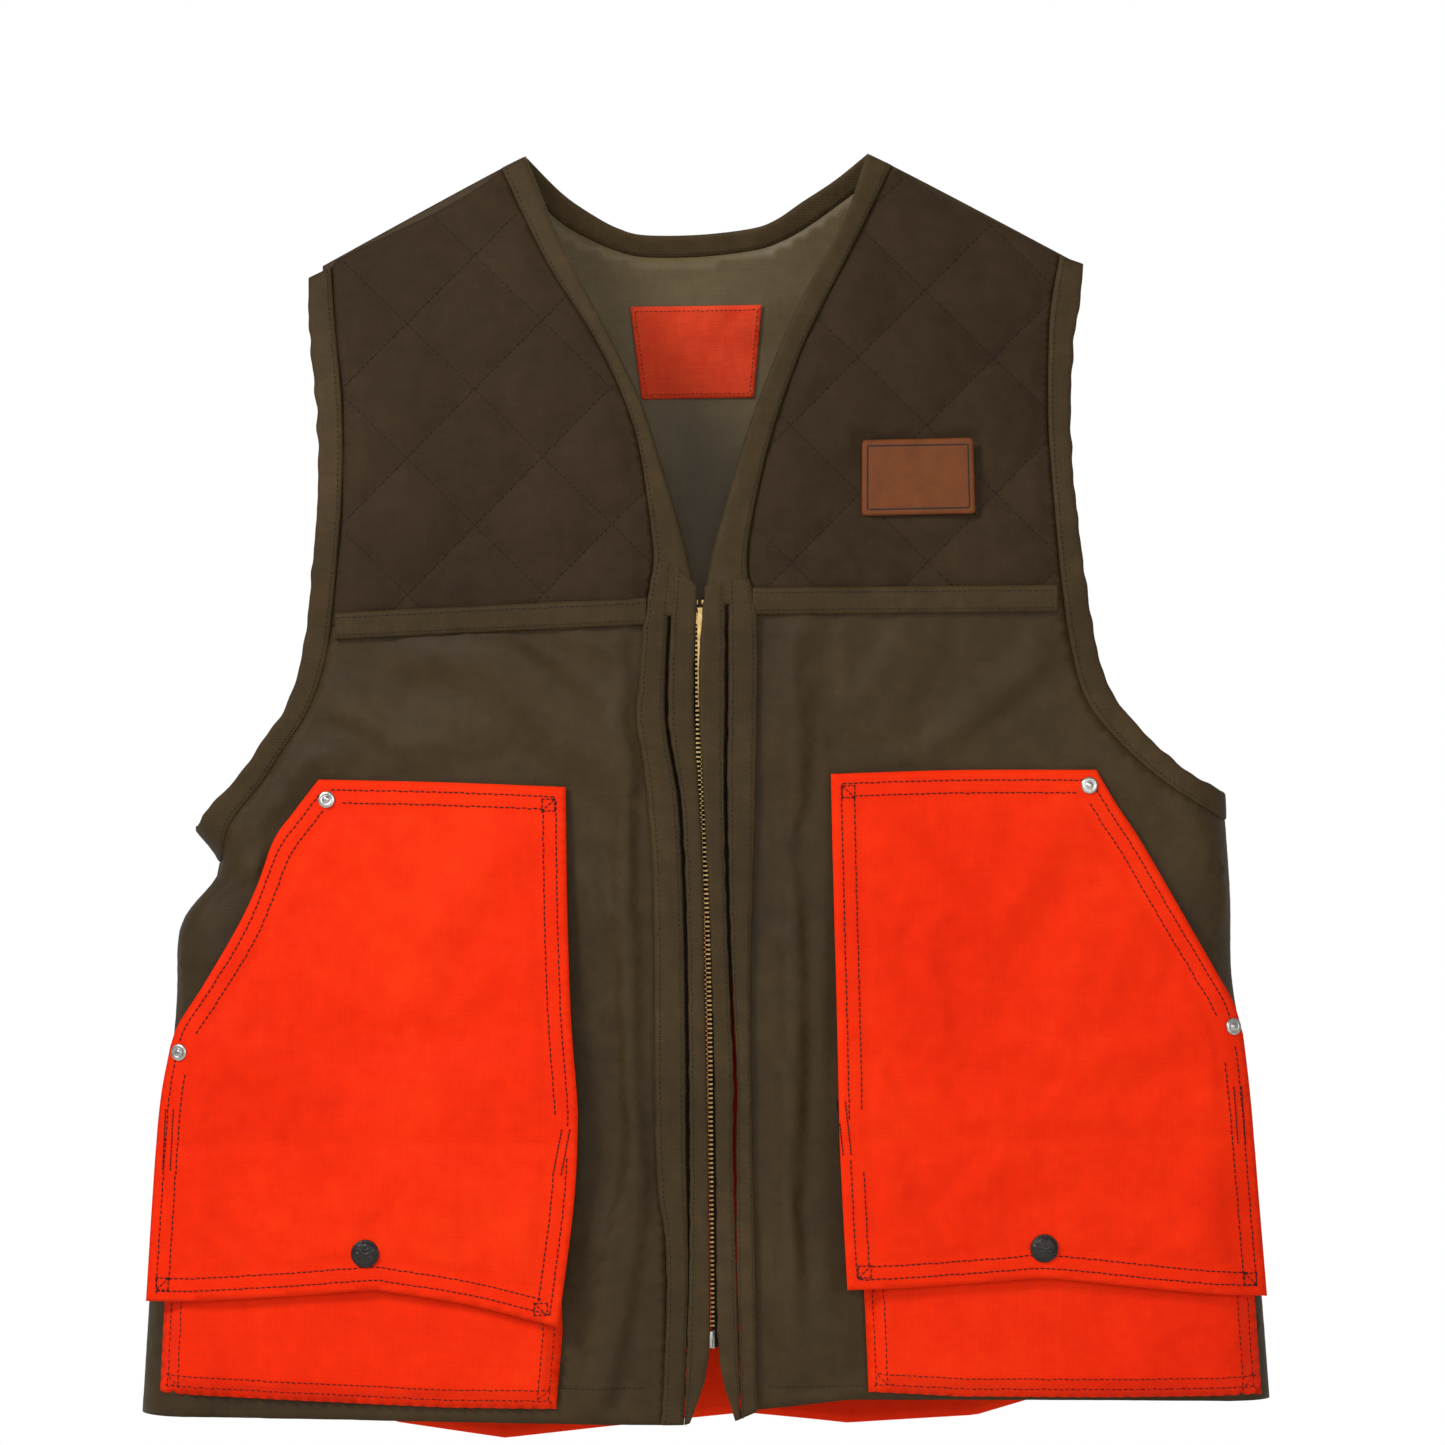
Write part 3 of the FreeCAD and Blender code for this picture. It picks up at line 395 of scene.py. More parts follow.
def leather_material():
    s = Shader("leather_brown")
    cells = s.node("ShaderNodeTexVoronoi", Scale=1500.0)
    cells.feature = "DISTANCE_TO_EDGE"
    s.link(s.coords, cells.inputs["Vector"])
    grain = s.math("MULTIPLY", cells.outputs["Distance"], 2.4, True)
    mottled = s.noise(70.0, 5.0, 0.65)
    pores = s.noise(900.0, 2.0, 0.5)
    colour = s.ramp(mottled, (0.25, srgb(102, 53, 20)), (0.5, srgb(114, 60, 24)), (0.78, srgb(126, 69, 30)))
    crease = s.ramp(grain, (0.0, (0.62, 0.62, 0.62, 1)), (0.35, (1, 1, 1, 1)))
    colour = s.mix(0.55, colour, crease, "MULTIPLY")
    normal = s.bump(grain, 0.35, 0.0003)
    normal = s.bump(pores, 0.15, 0.0003, normal)
    return s.finish(colour, s.math("ADD", 0.42, s.math("MULTIPLY", mottled, 0.2)), normal,
                    Specular_IOR_Level=0.2)


def metal_material(name, colour, tarnish, rough, scale=240.0, metallic=1.0, hammered=0.0):
    s = Shader(name)
    spots = s.noise(scale, 4.0, 0.65)
    brushed = s.noise(scale * 5, 2.0, 0.5, (1, 1, 0.08))
    tone = s.ramp(spots, (0.32, tarnish), (0.62, colour))
    normal = s.bump(brushed, 0.08, 0.0002)
    if hammered:
        dents = s.node("ShaderNodeTexVoronoi", Scale=620.0)
        s.link(s.coords, dents.inputs["Vector"])
        normal = s.bump(dents.outputs["Distance"], hammered, 0.0006, normal)
    roughness = s.math("ADD", rough, s.math("MULTIPLY", spots, 0.22))
    return s.finish(tone, roughness, normal, Metallic=metallic)


def make_materials():
    m = {}
    m["olive"] = cloth_material("olive_nylon", srgb(52, 39, 21), srgb(64, 49, 27), srgb(76, 59, 33),
                                0.55 * MM, 0.48, 0.02, sheen_tint=(0.75, 0.62, 0.40, 1), specular=0.16)
    m["lining"] = cloth_material("lining_satin", srgb(88, 73, 48), srgb(100, 84, 56), srgb(112, 96, 66),
                                 0.5 * MM, 0.40, 0.03, 0.2, specular=0.26)
    m["quilt"] = cloth_material("quilted_brown", srgb(50, 37, 25), srgb(58, 44, 30), srgb(66, 51, 36),
                                0.6 * MM, 0.70, 0.02, 0.14, sheen_tint=(0.55, 0.45, 0.35, 1),
                                specular=0.07)
    m["binding"] = cloth_material("binding_tape", srgb(57, 44, 25), srgb(68, 53, 31), srgb(82, 65, 39),
                                  0.8 * MM, 0.60, 0.02, 0.4, slub=0.6, specular=0.12)
    m["orange"] = cloth_material("orange_cloth", srgb(234, 38, 4), srgb(247, 45, 5), srgb(255, 56, 10),
                                 0.5 * MM, 0.60, 0.01, 0.16, slub=0.2, sheen_tint=(1, 0.35, 0.2, 1),
                                 specular=0.06)
    m["label"] = cloth_material("orange_label", srgb(224, 54, 22), srgb(238, 62, 26), srgb(248, 80, 40),
                                0.45 * MM, 0.7, 0.05, 0.4, slub=0.6, specular=0.2)
    m["zip_tape"] = cloth_material("zipper_tape", srgb(26, 21, 15), srgb(34, 28, 20), srgb(46, 38, 28),
                                   0.7 * MM, 0.8, 0.03, 0.6, True, specular=0.2)
    m["thread"] = cloth_material("dark_thread", srgb(34, 10, 8), srgb(46, 16, 12), srgb(62, 26, 20),
                                 0.3 * MM, 0.6, 0.03, 0.3, specular=0.25)
    m["olive_thread"] = cloth_material("olive_thread", srgb(34, 26, 14), srgb(46, 36, 20),
                                       srgb(60, 48, 28), 0.3 * MM, 0.6, 0.03, 0.3, specular=0.3)
    m["brown_thread"] = cloth_material("brown_thread", srgb(34, 24, 16), srgb(44, 32, 22),
                                       srgb(56, 43, 31), 0.3 * MM, 0.75, 0.03, 0.3, specular=0.2)
    m["leather"] = leather_material()
    m["black_line"] = cloth_material("black_edge", srgb(14, 10, 8), srgb(20, 14, 11), srgb(30, 22, 18),
                                     0.4 * MM, 0.5, 0.1, 0.2, specular=0.3)
    m["brass"] = metal_material("zipper_brass", (0.62, 0.43, 0.17, 1), (0.34, 0.22, 0.09, 1), 0.26)
    m["nickel"] = metal_material("bright_nickel", (0.60, 0.59, 0.56, 1), (0.36, 0.35, 0.33, 1), 0.20)
    m["snap"] = metal_material("dark_enamel", (0.022, 0.017, 0.015, 1), (0.010, 0.008, 0.007, 1), 0.28,
                               160.0, 0.35, 0.45)
    return m


MAT = make_materials()


# ---------------------------------------------------------------------------------------------
# Mesh helpers
# ---------------------------------------------------------------------------------------------

def make_object(name, verts, faces, material, smooth=True):
    mesh = bpy.data.meshes.new(name)
    mesh.from_pydata([tuple(v) for v in verts], [], faces)
    mesh.validate()
    mesh.update()
    obj = bpy.data.objects.new(name, mesh)
    bpy.context.collection.objects.link(obj)
    obj.data.materials.append(material)
    if smooth:
        mesh.polygons.foreach_set("use_smooth", [True] * len(mesh.polygons))
    return obj


def settle(obj):
    """Applies every modifier of a piece to its mesh."""
    graph = bpy.context.evaluated_depsgraph_get()
    graph.update()
    mesh = bpy.data.meshes.new_from_object(obj.evaluated_get(graph))
    obj.modifiers.clear()
    obj.data = mesh


def curve_points(points, step, closed=False):
    """Catmull-Rom points through 2D or 3D points, spaced about a step apart."""
    pts = [Vector(p) for p in points]
    ends = (pts[-1], pts[0], pts[1]) if closed else None
    ring = [ends[0]] + pts + [ends[1], ends[2]] if closed else \
        [2 * pts[0] - pts[1]] + pts + [2 * pts[-1] - pts[-2]]
    out = []
    for i in range(1, len(ring) - 2):
        a, b, c, d = ring[i - 1:i + 3]
        n = max(1, int(math.ceil((c - b).length / step)))
        for k in range(n):
            t = k / n
            out.append(0.5 * (2 * b + (c - a) * t + (2 * a - 5 * b + 4 * c - d) * t * t
                              + (3 * b - a - 3 * c + d) * t ** 3))
    if not closed:
        out.append(pts[-1])
    return out


def mm_curve(points, step=4):
    return [p * MM for p in curve_points(points, step)]


def straight(points, step=4):
    """Points along straight runs, in millimetres in and metres out."""
    out = []
    for a, b in zip(points, points[1:]):
        a, b = Vector(a), Vector(b)
        n = max(1, int(math.ceil((b - a).length / step)))
        out += [a.lerp(b, k / n) * MM for k in range(n)]
    return out + [Vector(points[-1]) * MM]


class Loop(list):
    """A closed outline of flat (x, z) points that answers questions about places near it."""

    def __init__(self, points):
        super().__init__((p[0], p[1]) for p in points)
        self.ends = np.array(self)
        self.starts = np.roll(self.ends, 1, axis=0)
        self.runs = self.ends - self.starts
        self.squares = (self.runs ** 2).sum(axis=1) + 1e-12

    def distance(self, x, z):
        away = np.array((x, z)) - self.starts
        t = np.clip((away * self.runs).sum(axis=1) / self.squares, 0, 1)
        gap = away - self.runs * t[:, None]
        return float(np.sqrt((gap ** 2).sum(axis=1).min()))

    def holds(self, x, z):
        over = (self.starts[:, 1] > z) != (self.ends[:, 1] > z)
        rise = np.where(over, self.runs[:, 1], 1)
        cross = self.runs[:, 0] * (z - self.starts[:, 1]) / rise + self.starts[:, 0]
        return bool((over & (x < cross)).sum() % 2)

    def area(self):
        turns = self.starts[:, 0] * self.ends[:, 1] - self.ends[:, 0] * self.starts[:, 1]
        return abs(float(turns.sum())) / 2

    def cut(self):
        """The flat cut, as a sheet's declaration takes it."""
        width, length = np.ptp(self.ends, axis=0)
        return {"flat": (float(width), float(length)), "area": min(self.area(), float(width * length))}


def inside(point, outline):
    return outline.holds(*point)


def edge_distance(x, z, outline):
    return outline.distance(x, z)


def fill(outline, spacing):
    """Flat vertices and faces that fill an outline with an even triangle lattice."""
    clean = []
    for p in outline:
        if not clean or (Vector(p) - clean[-1]).length > spacing * 0.2:
            clean.append(Vector((p[0], p[1])))
    if (clean[0] - clean[-1]).length < spacing * 0.2:
        clean.pop()
    loop = Loop(clean)
    xs = [p[0] for p in loop]
    zs = [p[1] for p in loop]
    rows = int((max(zs) - min(zs)) / (spacing * 0.866)) + 1
    columns = int((max(xs) - min(xs)) / spacing) + 2
    points = list(clean)
    for r in range(rows):
        z = min(zs) + (r + 0.5) * spacing * 0.866
        for c in range(columns):
            x = min(xs) + (c + 0.5 * (r % 2)) * spacing
            if inside((x, z), loop) and edge_distance(x, z, loop) > spacing * 0.55:
                points.append(Vector((x, z)))
    n = len(clean)
    edges = [(i, (i + 1) % n) for i in range(n)]
    verts, _, faces, *_ = delaunay_2d_cdt(points, edges, [], 1, 1e-7)
    return [(v.x, v.y) for v in verts], [list(f) for f in faces]


def sheet_piece(name, outline, spacing, place, material, flip=False):
    """A sheet that fills an outline; place turns flat (x, z) into a point in space."""
    flat, faces = fill(outline, spacing)
    verts = [place(x, z) for x, z in flat]
    obj = make_object(name, verts, faces, material)
    orient(obj, flip)
    return obj, flat


def orient(obj, to_back=False):
    """Turns the faces so that their outside is the front, or the back."""
    total = sum(p.normal.y * p.area for p in obj.data.polygons)
    if (total > 0) != to_back:
        obj.data.flip_normals()


def thicken(obj, thick, offset=-1.0):
    mod = obj.modifiers.new("Solid", "SOLIDIFY")
    mod.thickness = thick
    mod.offset = offset
    mod.use_even_offset = False
    mod.use_rim = True
    settle(obj)
    obj.data.polygons.foreach_set("use_smooth", [True] * len(obj.data.polygons))


class Surface:
    """The front of some pieces, which later pieces are laid on by looking along Y."""

    def __init__(self, *objects, front=True):
        self.front = front
        verts, faces = [], []
        for obj in objects:
            base = len(verts)
            verts += [v.co.copy() for v in obj.data.vertices]
            faces += [[base + i for i in p.vertices] for p in obj.data.polygons]
        self.tree = BVHTree.FromPolygons(verts, faces)

    def at(self, x, z, lift=0.0, default=None):
        way = 1 if self.front else -1
        spot, normal, _, _ = self.tree.ray_cast(Vector((x, -way, z)), Vector((0, way, 0)))
        if spot is None:
            spot = default if default is not None else skin(x, z, 2 * MM, self.front)
            normal = Vector((0, -way, 0))
        if normal.y * way > 0:
            normal = -normal
        return spot + normal * lift, normal


def smooth_step(low, high, value):
    t = min(1.0, max(0.0, (value - low) / (high - low)))
    return t * t * (3 - 2 * t)


# ---------------------------------------------------------------------------------------------
# Stitches: each is a small swollen grain of thread, laid in rows along seams
# ---------------------------------------------------------------------------------------------

GRAIN_SIDES = 5
stitch_store = {}


def stitch(body, material, start, end, normal, radius):
    store = stitch_store.setdefault((body, material), ([], []))
    verts, faces = store
    along = end - start
    if along.length < 1e-5:
        return
    across = along.cross(normal).normalized()
    up = across.cross(along).normalized()
    base = len(verts)
    for t, r in ((0.0, 0.45), (0.22, 0.95), (0.78, 0.95), (1.0, 0.45)):
        centre = start + along * t + up * (radius * (0.55 if 0.1 < t < 0.9 else -0.15))
        for k in range(GRAIN_SIDES):
            turn = 2 * math.pi * k / GRAIN_SIDES
            verts.append(centre + (across * math.cos(turn) + up * math.sin(turn)) * radius * r)
    for ring in range(3):
        for k in range(GRAIN_SIDES):
            a = base + ring * GRAIN_SIDES + k
            b = base + ring * GRAIN_SIDES + (k + 1) % GRAIN_SIDES
            faces.append((a, b, b + GRAIN_SIDES, a + GRAIN_SIDES))
    faces.append(tuple(base + k for k in reversed(range(GRAIN_SIDES))))
    faces.append(tuple(base + 3 * GRAIN_SIDES + k for k in range(GRAIN_SIDES)))


def stitch_row(body, material, points, on, pitch=3.2, length=2.3, radius=0.34, wander=0.12, lift=0.0):
    """A row of stitches along flat points; on gives the place and normal of a flat point."""
    travelled = 0.0
    marks = []
    next_mark = 0.5 * pitch * MM
    for a, b in zip(points, points[1:]):
        run = (b - a).length
        while run > 0 and next_mark <= travelled + run:
            t = (next_mark - travelled) / run
            marks.append((a.lerp(b, t), (b - a).normalized()))
            next_mark += pitch * MM * (1 + random.uniform(-0.04, 0.04))
        travelled += run
    half = length * MM / 2
    for centre, way in marks:
        drift = Vector((-way.y, way.x)) * random.gauss(0, wander * MM)
        p, q = centre - way * half + drift, centre + way * half + drift
        start, n0 = on(p.x, p.y)
        end, n1 = on(q.x, q.y)
        normal = (n0 + n1).normalized()
        rise = normal * lift * MM
        stitch(body, material, start + rise, end + rise, normal, radius * MM)


def make_stitches(names):
    made = []
    for (body, material), (verts, faces) in sorted(stitch_store.items()):
        obj = make_object("stitches_%s_%s" % (body, material), verts, faces, MAT[material])
        if body in FLAP_SIDES:
            bend_with_flap(obj, FLAP_SIDES[body])
        else:
            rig.ride(obj, body)
        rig.slot(obj, names.get(material, "binding_cloth"))
        made.append(obj)
    return made


# ---------------------------------------------------------------------------------------------
# Cloth simulation
# ---------------------------------------------------------------------------------------------

SIM_FRAMES = 22
CLOTH_SETTINGS = {"quality": 6, "mass": 0.12, "tension_stiffness": 18, "compression_stiffness": 18,
                  "shear_stiffness": 8, "air_damping": 2.0, "vertex_group_mass": "pin"}
SLIDE_CAP = 2.5 * MM        # furthest that cloth may move along the skin
pending = []


def plan_cloth(obj, pins, limits, grow, bend=0.6):
    """Queues a piece for the simulation. pins holds each vertex's weight, and limits its way out
    and how far it may move in and out; the cloth is cut larger than its place by grow."""
    pending.append((obj, pins, limits, grow, bend))


def held_step(step, limit):
    way, inward, outward = limit
    out = step.dot(way)
    along = step - way * out
    if along.length > SLIDE_CAP:
        along *= SLIDE_CAP / along.length
    return along + way * min(outward, max(-inward, out))


def run_cloth():
    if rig.quick() or not pending:
        pending.clear()
        return
    scene = bpy.context.scene
    scene.frame_set(1)
    starts = []
    for obj, pins, _, grow, bend in pending:
        group = obj.vertex_groups.new(name="pin")
        for index, weight in enumerate(pins):
            group.add([index], weight, "REPLACE")
        mod = obj.modifiers.new("Cloth", "CLOTH")
        cloth = mod.settings
        for key, value in CLOTH_SETTINGS.items():
            setattr(cloth, key, value)
        cloth.bending_stiffness = bend
        cloth.shrink_min = -grow
        cloth.effector_weights.gravity = 0.0
        mod.collision_settings.use_collision = False
        mod.point_cache.frame_start = 1
        mod.point_cache.frame_end = SIM_FRAMES
        starts.append([v.co.copy() for v in obj.data.vertices])
    for f in range(1, SIM_FRAMES + 1):
        scene.frame_set(f)
    graph = bpy.context.evaluated_depsgraph_get()
    for (obj, pins, limits, *_), before in zip(pending, starts):
        result = bpy.data.meshes.new_from_object(obj.evaluated_get(graph))
        moved = [v.co.copy() for v in result.vertices]
        obj.modifiers.clear()
        for vertex, a, b, weight, limit in zip(obj.data.vertices, before, moved, pins, limits):
            vertex.co = a + held_step(b - a, limit) * (1 - weight)
        obj.data.update()
        bpy.data.meshes.remove(result)
    scene.frame_set(1)
    pending.clear()


# ---------------------------------------------------------------------------------------------
# Cloth coordinates: s runs along the cloth from the centre, and turns round the side
# ---------------------------------------------------------------------------------------------

SIDE_ARC = SIDE_ROUND * math.pi / 2


def side_end(z):
    return half_width(z) - SIDE_ROUND + SIDE_ARC


def pinch(side, z):
    """How far the wearer's right side is drawn in under the armhole."""
    if side > 0:
        return 3 * MM * math.exp(-((z + 0.455) / 0.03) ** 2)
    return 24 * MM * math.exp(-((z + 0.392) / 0.022) ** 2) + 5 * MM * math.exp(-((z + 0.47) / 0.05) ** 2)


def wrap(side, s, z, offset=0.0, front=True):
    flat = half_width(z) - SIDE_ROUND
    turn = max(0.0, s - flat) / SIDE_ROUND
    x = min(s, flat) + (SIDE_ROUND + offset) * math.sin(turn)
    y = (skin_depth(min(s, flat), z) + offset) * math.cos(turn)
    x -= pinch(side, z) * smooth_step(flat - 0.05, flat + SIDE_ARC, s)
    return Vector((side * x, -y if front else y, z))


def cloth_s(x, z):
    flat = half_width(z) - SIDE_ROUND
    if x <= flat:
        return x
    return flat + SIDE_ROUND * math.asin(min(1.0, (x - flat) / SIDE_ROUND))


def cloth_points(points, step=4):
    return [Vector((cloth_s(p.x, p.y), p.y)) for p in mm_curve(points, step)]


# Edges measured on the two sides of the vest: (half width, height) in millimetres.

ARM_OUT = {
    1: [(214, -61.5), (212, -80), (207.6, -105), (204.8, -150), (206.9, -194), (212, -238),
        (217, -271), (225, -298), (242, -320), (264, -341), (288, -356)],
    -1: [(215.5, -66), (214.5, -99), (210.5, -135), (209, -174), (211, -212), (217, -267),
         (226, -300), (241, -323), (259, -347), (287, -372)],
}
ARM_IN = {
    1: [(201, -57), (196, -82), (193.6, -104), (192.4, -150), (195, -195), (198.8, -240),
        (203.5, -274), (212, -304), (231, -328), (256, -350), (288, -371)],
    -1: [(203, -60), (199.5, -100), (196, -138), (195.6, -176), (198, -214), (204, -270),
         (214.5, -304), (230, -328), (247, -352), (287, -390)],
}
VEE_OUT = {
    1: [(108.5, -6), (84.5, -55), (62, -99), (50.5, -127), (39.5, -159), (29.2, -203), (26.4, -226),
        (28.5, -250)],
    -1: [(108.5, -6), (83.5, -59), (59.5, -98), (43, -131), (32.5, -164), (26, -212), (25.5, -230),
         (30, -256)],
}
VEE_IN = {
    1: [(95, 0.5), (80.5, -40), (56.8, -83), (40, -121), (25.8, -159), (12.8, -203), (6.5, -226),
        (3.4, -250)],
    -1: [(95, 0.5), (75.5, -48), (53.5, -92), (32, -137), (21.5, -170), (9.5, -212), (5.5, -230),
         (1.2, -256)],
}
YOKE_Z = {1: (-248.5, -248), -1: (-253.5, -260)}


def yoke_line(side, x):
    """Height of the seam under a yoke, from the placket to the armhole."""
    inner, outer = YOKE_Z[side]
    return (inner + (outer - inner) * (x / MM - 28) / 170) * MM


FRONT_HEM = {1: [(0, -698), (16, -697), (25, -690.5), (79, -685.5), (180, -687.5), (330, -691)],
             -1: [(0, -698.5), (120, -697), (330, -693.5)]}
BACK_HEM = [(-330, -692), (0, -690), (330, -688.5)]
BAG_HEM = [(-330, -680), (-256, -684), (-200, -693), (-174, -704), (-113, -714), (-58, -709),
           (21.5, -702), (79, -708), (151, -703), (200, -688), (256, -680), (330, -678)]


def level(points, x):
    """Height at x along a run of (x, z) points in millimetres."""
    return float(np.interp(x / MM, [p[0] for p in points], [p[1] for p in points])) * MM


def piece_slot(obj, body, slot, *nodes):
    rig.ride(obj, body)
    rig.slot(obj, slot)
    if nodes:
        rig.replaces(obj, *nodes)


SIDES = {1: "left", -1: "right"}


# ---------------------------------------------------------------------------------------------
# Folds: soft ridges and hollows across the cloth
# ---------------------------------------------------------------------------------------------

def ridge(x, z, start, end, width, height):
    """A soft ridge from start to end, fading at both ends; all in millimetres."""
    ax, az = start[0] * MM, start[1] * MM
    dx, dz = end[0] * MM - ax, end[1] * MM - az
    run = dx * dx + dz * dz
    t = ((x - ax) * dx + (z - az) * dz) / run
    off = ((x - ax) * dz - (z - az) * dx) / math.sqrt(run)
    if t < -0.3 or t > 1.3:
        return 0.0
    fade = smooth_step(-0.3, 0.25, t) * (1 - smooth_step(0.75, 1.3, t))
    return height * MM * fade * math.exp(-(off / (width * MM)) ** 2)


FRONT_FOLDS = {
    1: [((52, -262), (46, -690), 9, 3.2), ((70, -300), (62, -660), 8, -1.6),
        ((196, -268), (120, -338), 12, 2.2), ((236, -345), (250, -480), 12, 3.0),
        ((262, -372), (272, -500), 9, -2.2), ((120, -262), (90, -345), 16, 1.8)],
    -1: [((46, -300), (38, -560), 8, 2.6), ((38, -560), (64, -696), 10, 5.5),
         ((60, -380), (52, -560), 7, -2.0), ((112, -275), (40, -345), 13, 2.6),
         ((205, -290), (150, -345), 12, 2.2), ((214, -330), (252, -392), 9, 4.0),
         ((262, -395), (214, -372), 7, 3.2), ((246, -410), (268, -470), 9, -2.5),
         ((150, -270), (70, -300), 12, 1.4)],
}


def front_fold(side, x, z):
    total = sum(ridge(x, z, *fold) for fold in FRONT_FOLDS[side])
    return total + 1.1 * MM * noise.noise(Vector((x * 14, z * 9, side * 5.0)))


def border_fade(x, z, outline, reach=0.018):
    return smooth_step(0.0, reach, edge_distance(x, z, outline))


SHELL_LEAST = 1.4 * MM      # nearest that a shell lies to the skin
SHELL_STOP = 1.35 * MM      # nearest that the simulation may bring it
SHELL_OUT = 1.9 * MM
UNDER_POCKET = 2.1 * MM     # most that it may stand out beneath a pocket
FREE_ROOM = 6 * MM          # how much further it may stand elsewhere
OUTWARD_PROBE = 3 * MM


def side_run(top, bottom, first, count):
    """Points down the side seam, from height top to height bottom."""
    heights = [top + (bottom - top) * i / count for i in range(first, count + 1)]
    return [Vector((side_end(z), z)) for z in heights]


def build_front_shell(side):
    """The olive front below the yoke, down to its hem."""
    name = SIDES[side]
    arm = [p for p in cloth_points(ARM_IN[side]) if p.y < yoke_line(side, p.x) + 6 * MM]
    inner = 20 * MM
    top = [Vector((inner, yoke_line(side, inner) + 8 * MM)), Vector((arm[0].x, arm[0].y))]
    side_z = arm[-1].y
    count = 60
    low = level(FRONT_HEM[side], 0.31)
    side_edge = side_run(side_z, low, 0, count)
    across = [side_end(low) * (1 - i / count) + inner * i / count for i in range(1, count + 1)]
    hem = [Vector((x, level(FRONT_HEM[side], x))) for x in across]
    outline = [top[0]] + arm + side_edge + hem
    outline = curve_free(outline, 4.5 * MM)
    loop = Loop(outline)

    covers = (pocket_loop(side), pouch_loop(side))

    def room(s, z):
        """How far out of the skin the cloth may stand: little under a pocket."""
        out = min((0.0 if cover.holds(s, z) else cover.distance(s, z)) for cover in covers)
        return UNDER_POCKET + FREE_ROOM * smooth_step(0.0, 0.022, out)

    def stand(s, z):
        out = SHELL_OUT + 1.4 * front_fold(side, s, z) * border_fade(s, z, loop, 0.022)
        return min(room(s, z), max(SHELL_LEAST, out))

    shell, flat = sheet_piece("front_shell_" + name, loop, 5 * MM,
                              lambda s, z: wrap(side, s, z, stand(s, z)), MAT["olive"])
    limits = []
    for s, z in flat:
        out = stand(s, z)
        way = (wrap(side, s, z, OUTWARD_PROBE) - wrap(side, s, z)).normalized()
        limits.append((way, out - SHELL_STOP, room(s, z) - out))
    plan_cloth(shell, pin_map(flat, loop), limits, 0.018, 0.5)
    return shell, loop


def curve_free(points, step):
    """Walks a closed outline and drops points nearer than half a step to the last one kept."""
    kept = [points[0]]
    for a, b in zip(points, points[1:] + points[:1]):
        run = (b - a).length
        n = max(1, int(run / step))
        for k in range(1, n + 1):
            spot = a.lerp(b, k / n)
            if (spot - kept[-1]).length > step * 0.5:
                kept.append(spot)
    if (kept[0] - kept[-1]).length < step * 0.5:
        kept.pop()
    return kept


def build_front_lining(side):
    name = SIDES[side]
    arm = cloth_points(ARM_IN[side])
    vee = list(reversed(cloth_points(VEE_OUT[side])))
    top = [Vector((x, shoulder_line(x) - 1 * MM)) for x in
           [vee[-1].x + (arm[0].x - vee[-1].x) * i / 24 for i in range(1, 24)]]
    side_z = arm[-1].y
    low = level(FRONT_HEM[side], 0.31) + 2 * MM
    edge = side_run(side_z, low, 1, 40)
    hem = [Vector((x * MM, level(FRONT_HEM[side], x * MM) + 2 * MM)) for x in range(300, 19, -14)]
    outline = curve_free([Vector((20 * MM, vee[0].y))] + vee + top + arm + edge + hem, 7 * MM)
    loop = Loop(outline)

    def place(s, z):
        fade = border_fade(s, z, loop, 0.03)
        return wrap(side, s, z, -0.2 * MM + fade * (-1.2 * MM + 0.9 * MM * noise.noise(
            Vector((s * 30, z * 18, side * 3.0)))))

    obj, _ = sheet_piece("front_lining_cloth_" + name, loop, 8 * MM, place, MAT["lining"], True)
    thicken(obj, 0.4 * MM)
    piece_slot(obj, "vest", "lining_cloth", "front_lining_" + name, "hem_facing_front_" + name)
    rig.sheet(obj, held="hung", **loop.cut())
    return obj


# ---------------------------------------------------------------------------------------------
# Quilted yokes
# ---------------------------------------------------------------------------------------------

QUILT_STEP = 53 * MM
QUILT_PHASE = {1: (0.36, 0.30), -1: (0.10, 0.62)}


def quilt_lines(side, x, z):
    """Distances along the two quilting directions, in steps."""
    a = (x + z) / (QUILT_STEP * math.sqrt(2)) + QUILT_PHASE[side][0]
    b = (x - z) / (QUILT_STEP * math.sqrt(2)) + QUILT_PHASE[side][1]
    return a, b


PATCH_CENTRE = Vector((120.2, -181)) * MM


def under_patch(side, x, z):
    """1 where the sewn patch presses the quilting flat."""
    if side < 0:
        return 0.0
    out = max(abs(x - PATCH_CENTRE.x) - 31 * MM, abs(z - PATCH_CENTRE.y) - 21 * MM)
    return 1 - smooth_step(-0.002, 0.009, out)


def quilt_puff(side, x, z):
    a, b = quilt_lines(side, x, z)
    lift = (abs(math.sin(math.pi * a)) ** 0.6) * (abs(math.sin(math.pi * b)) ** 0.6)
    crumple = noise.noise(Vector((x * 60, z * 60, side))) * 0.25
    return lift * (1 + crumple) * (1 - 0.85 * under_patch(side, x, z))


def yoke_loop(side):
    arm = [p for p in mm_curve(ARM_IN[side], 3) if p.y > yoke_line(side, p.x)]
    vee = [p for p in reversed(mm_curve(VEE_OUT[side], 3))]
    fall = 6.5 if side < 0 else 1.5
    top = []
    for i in range(1, 30):
        x = vee[-1].x + (arm[0].x - vee[-1].x) * i / 30
        bow = math.sin(math.pi * i / 30) ** 0.7 * (1 - i / 30) * fall * MM
        top.append(Vector((x, shoulder_line(x) - 0.5 * MM - bow)))
    low_inner = Vector((28 * MM, yoke_line(side, 28 * MM)))
    low_outer = Vector((arm[-1].x + 0.5 * MM, yoke_line(side, arm[-1].x)))
    return Loop(curve_free(vee + top + arm + [low_outer, low_inner], 2.6 * MM))


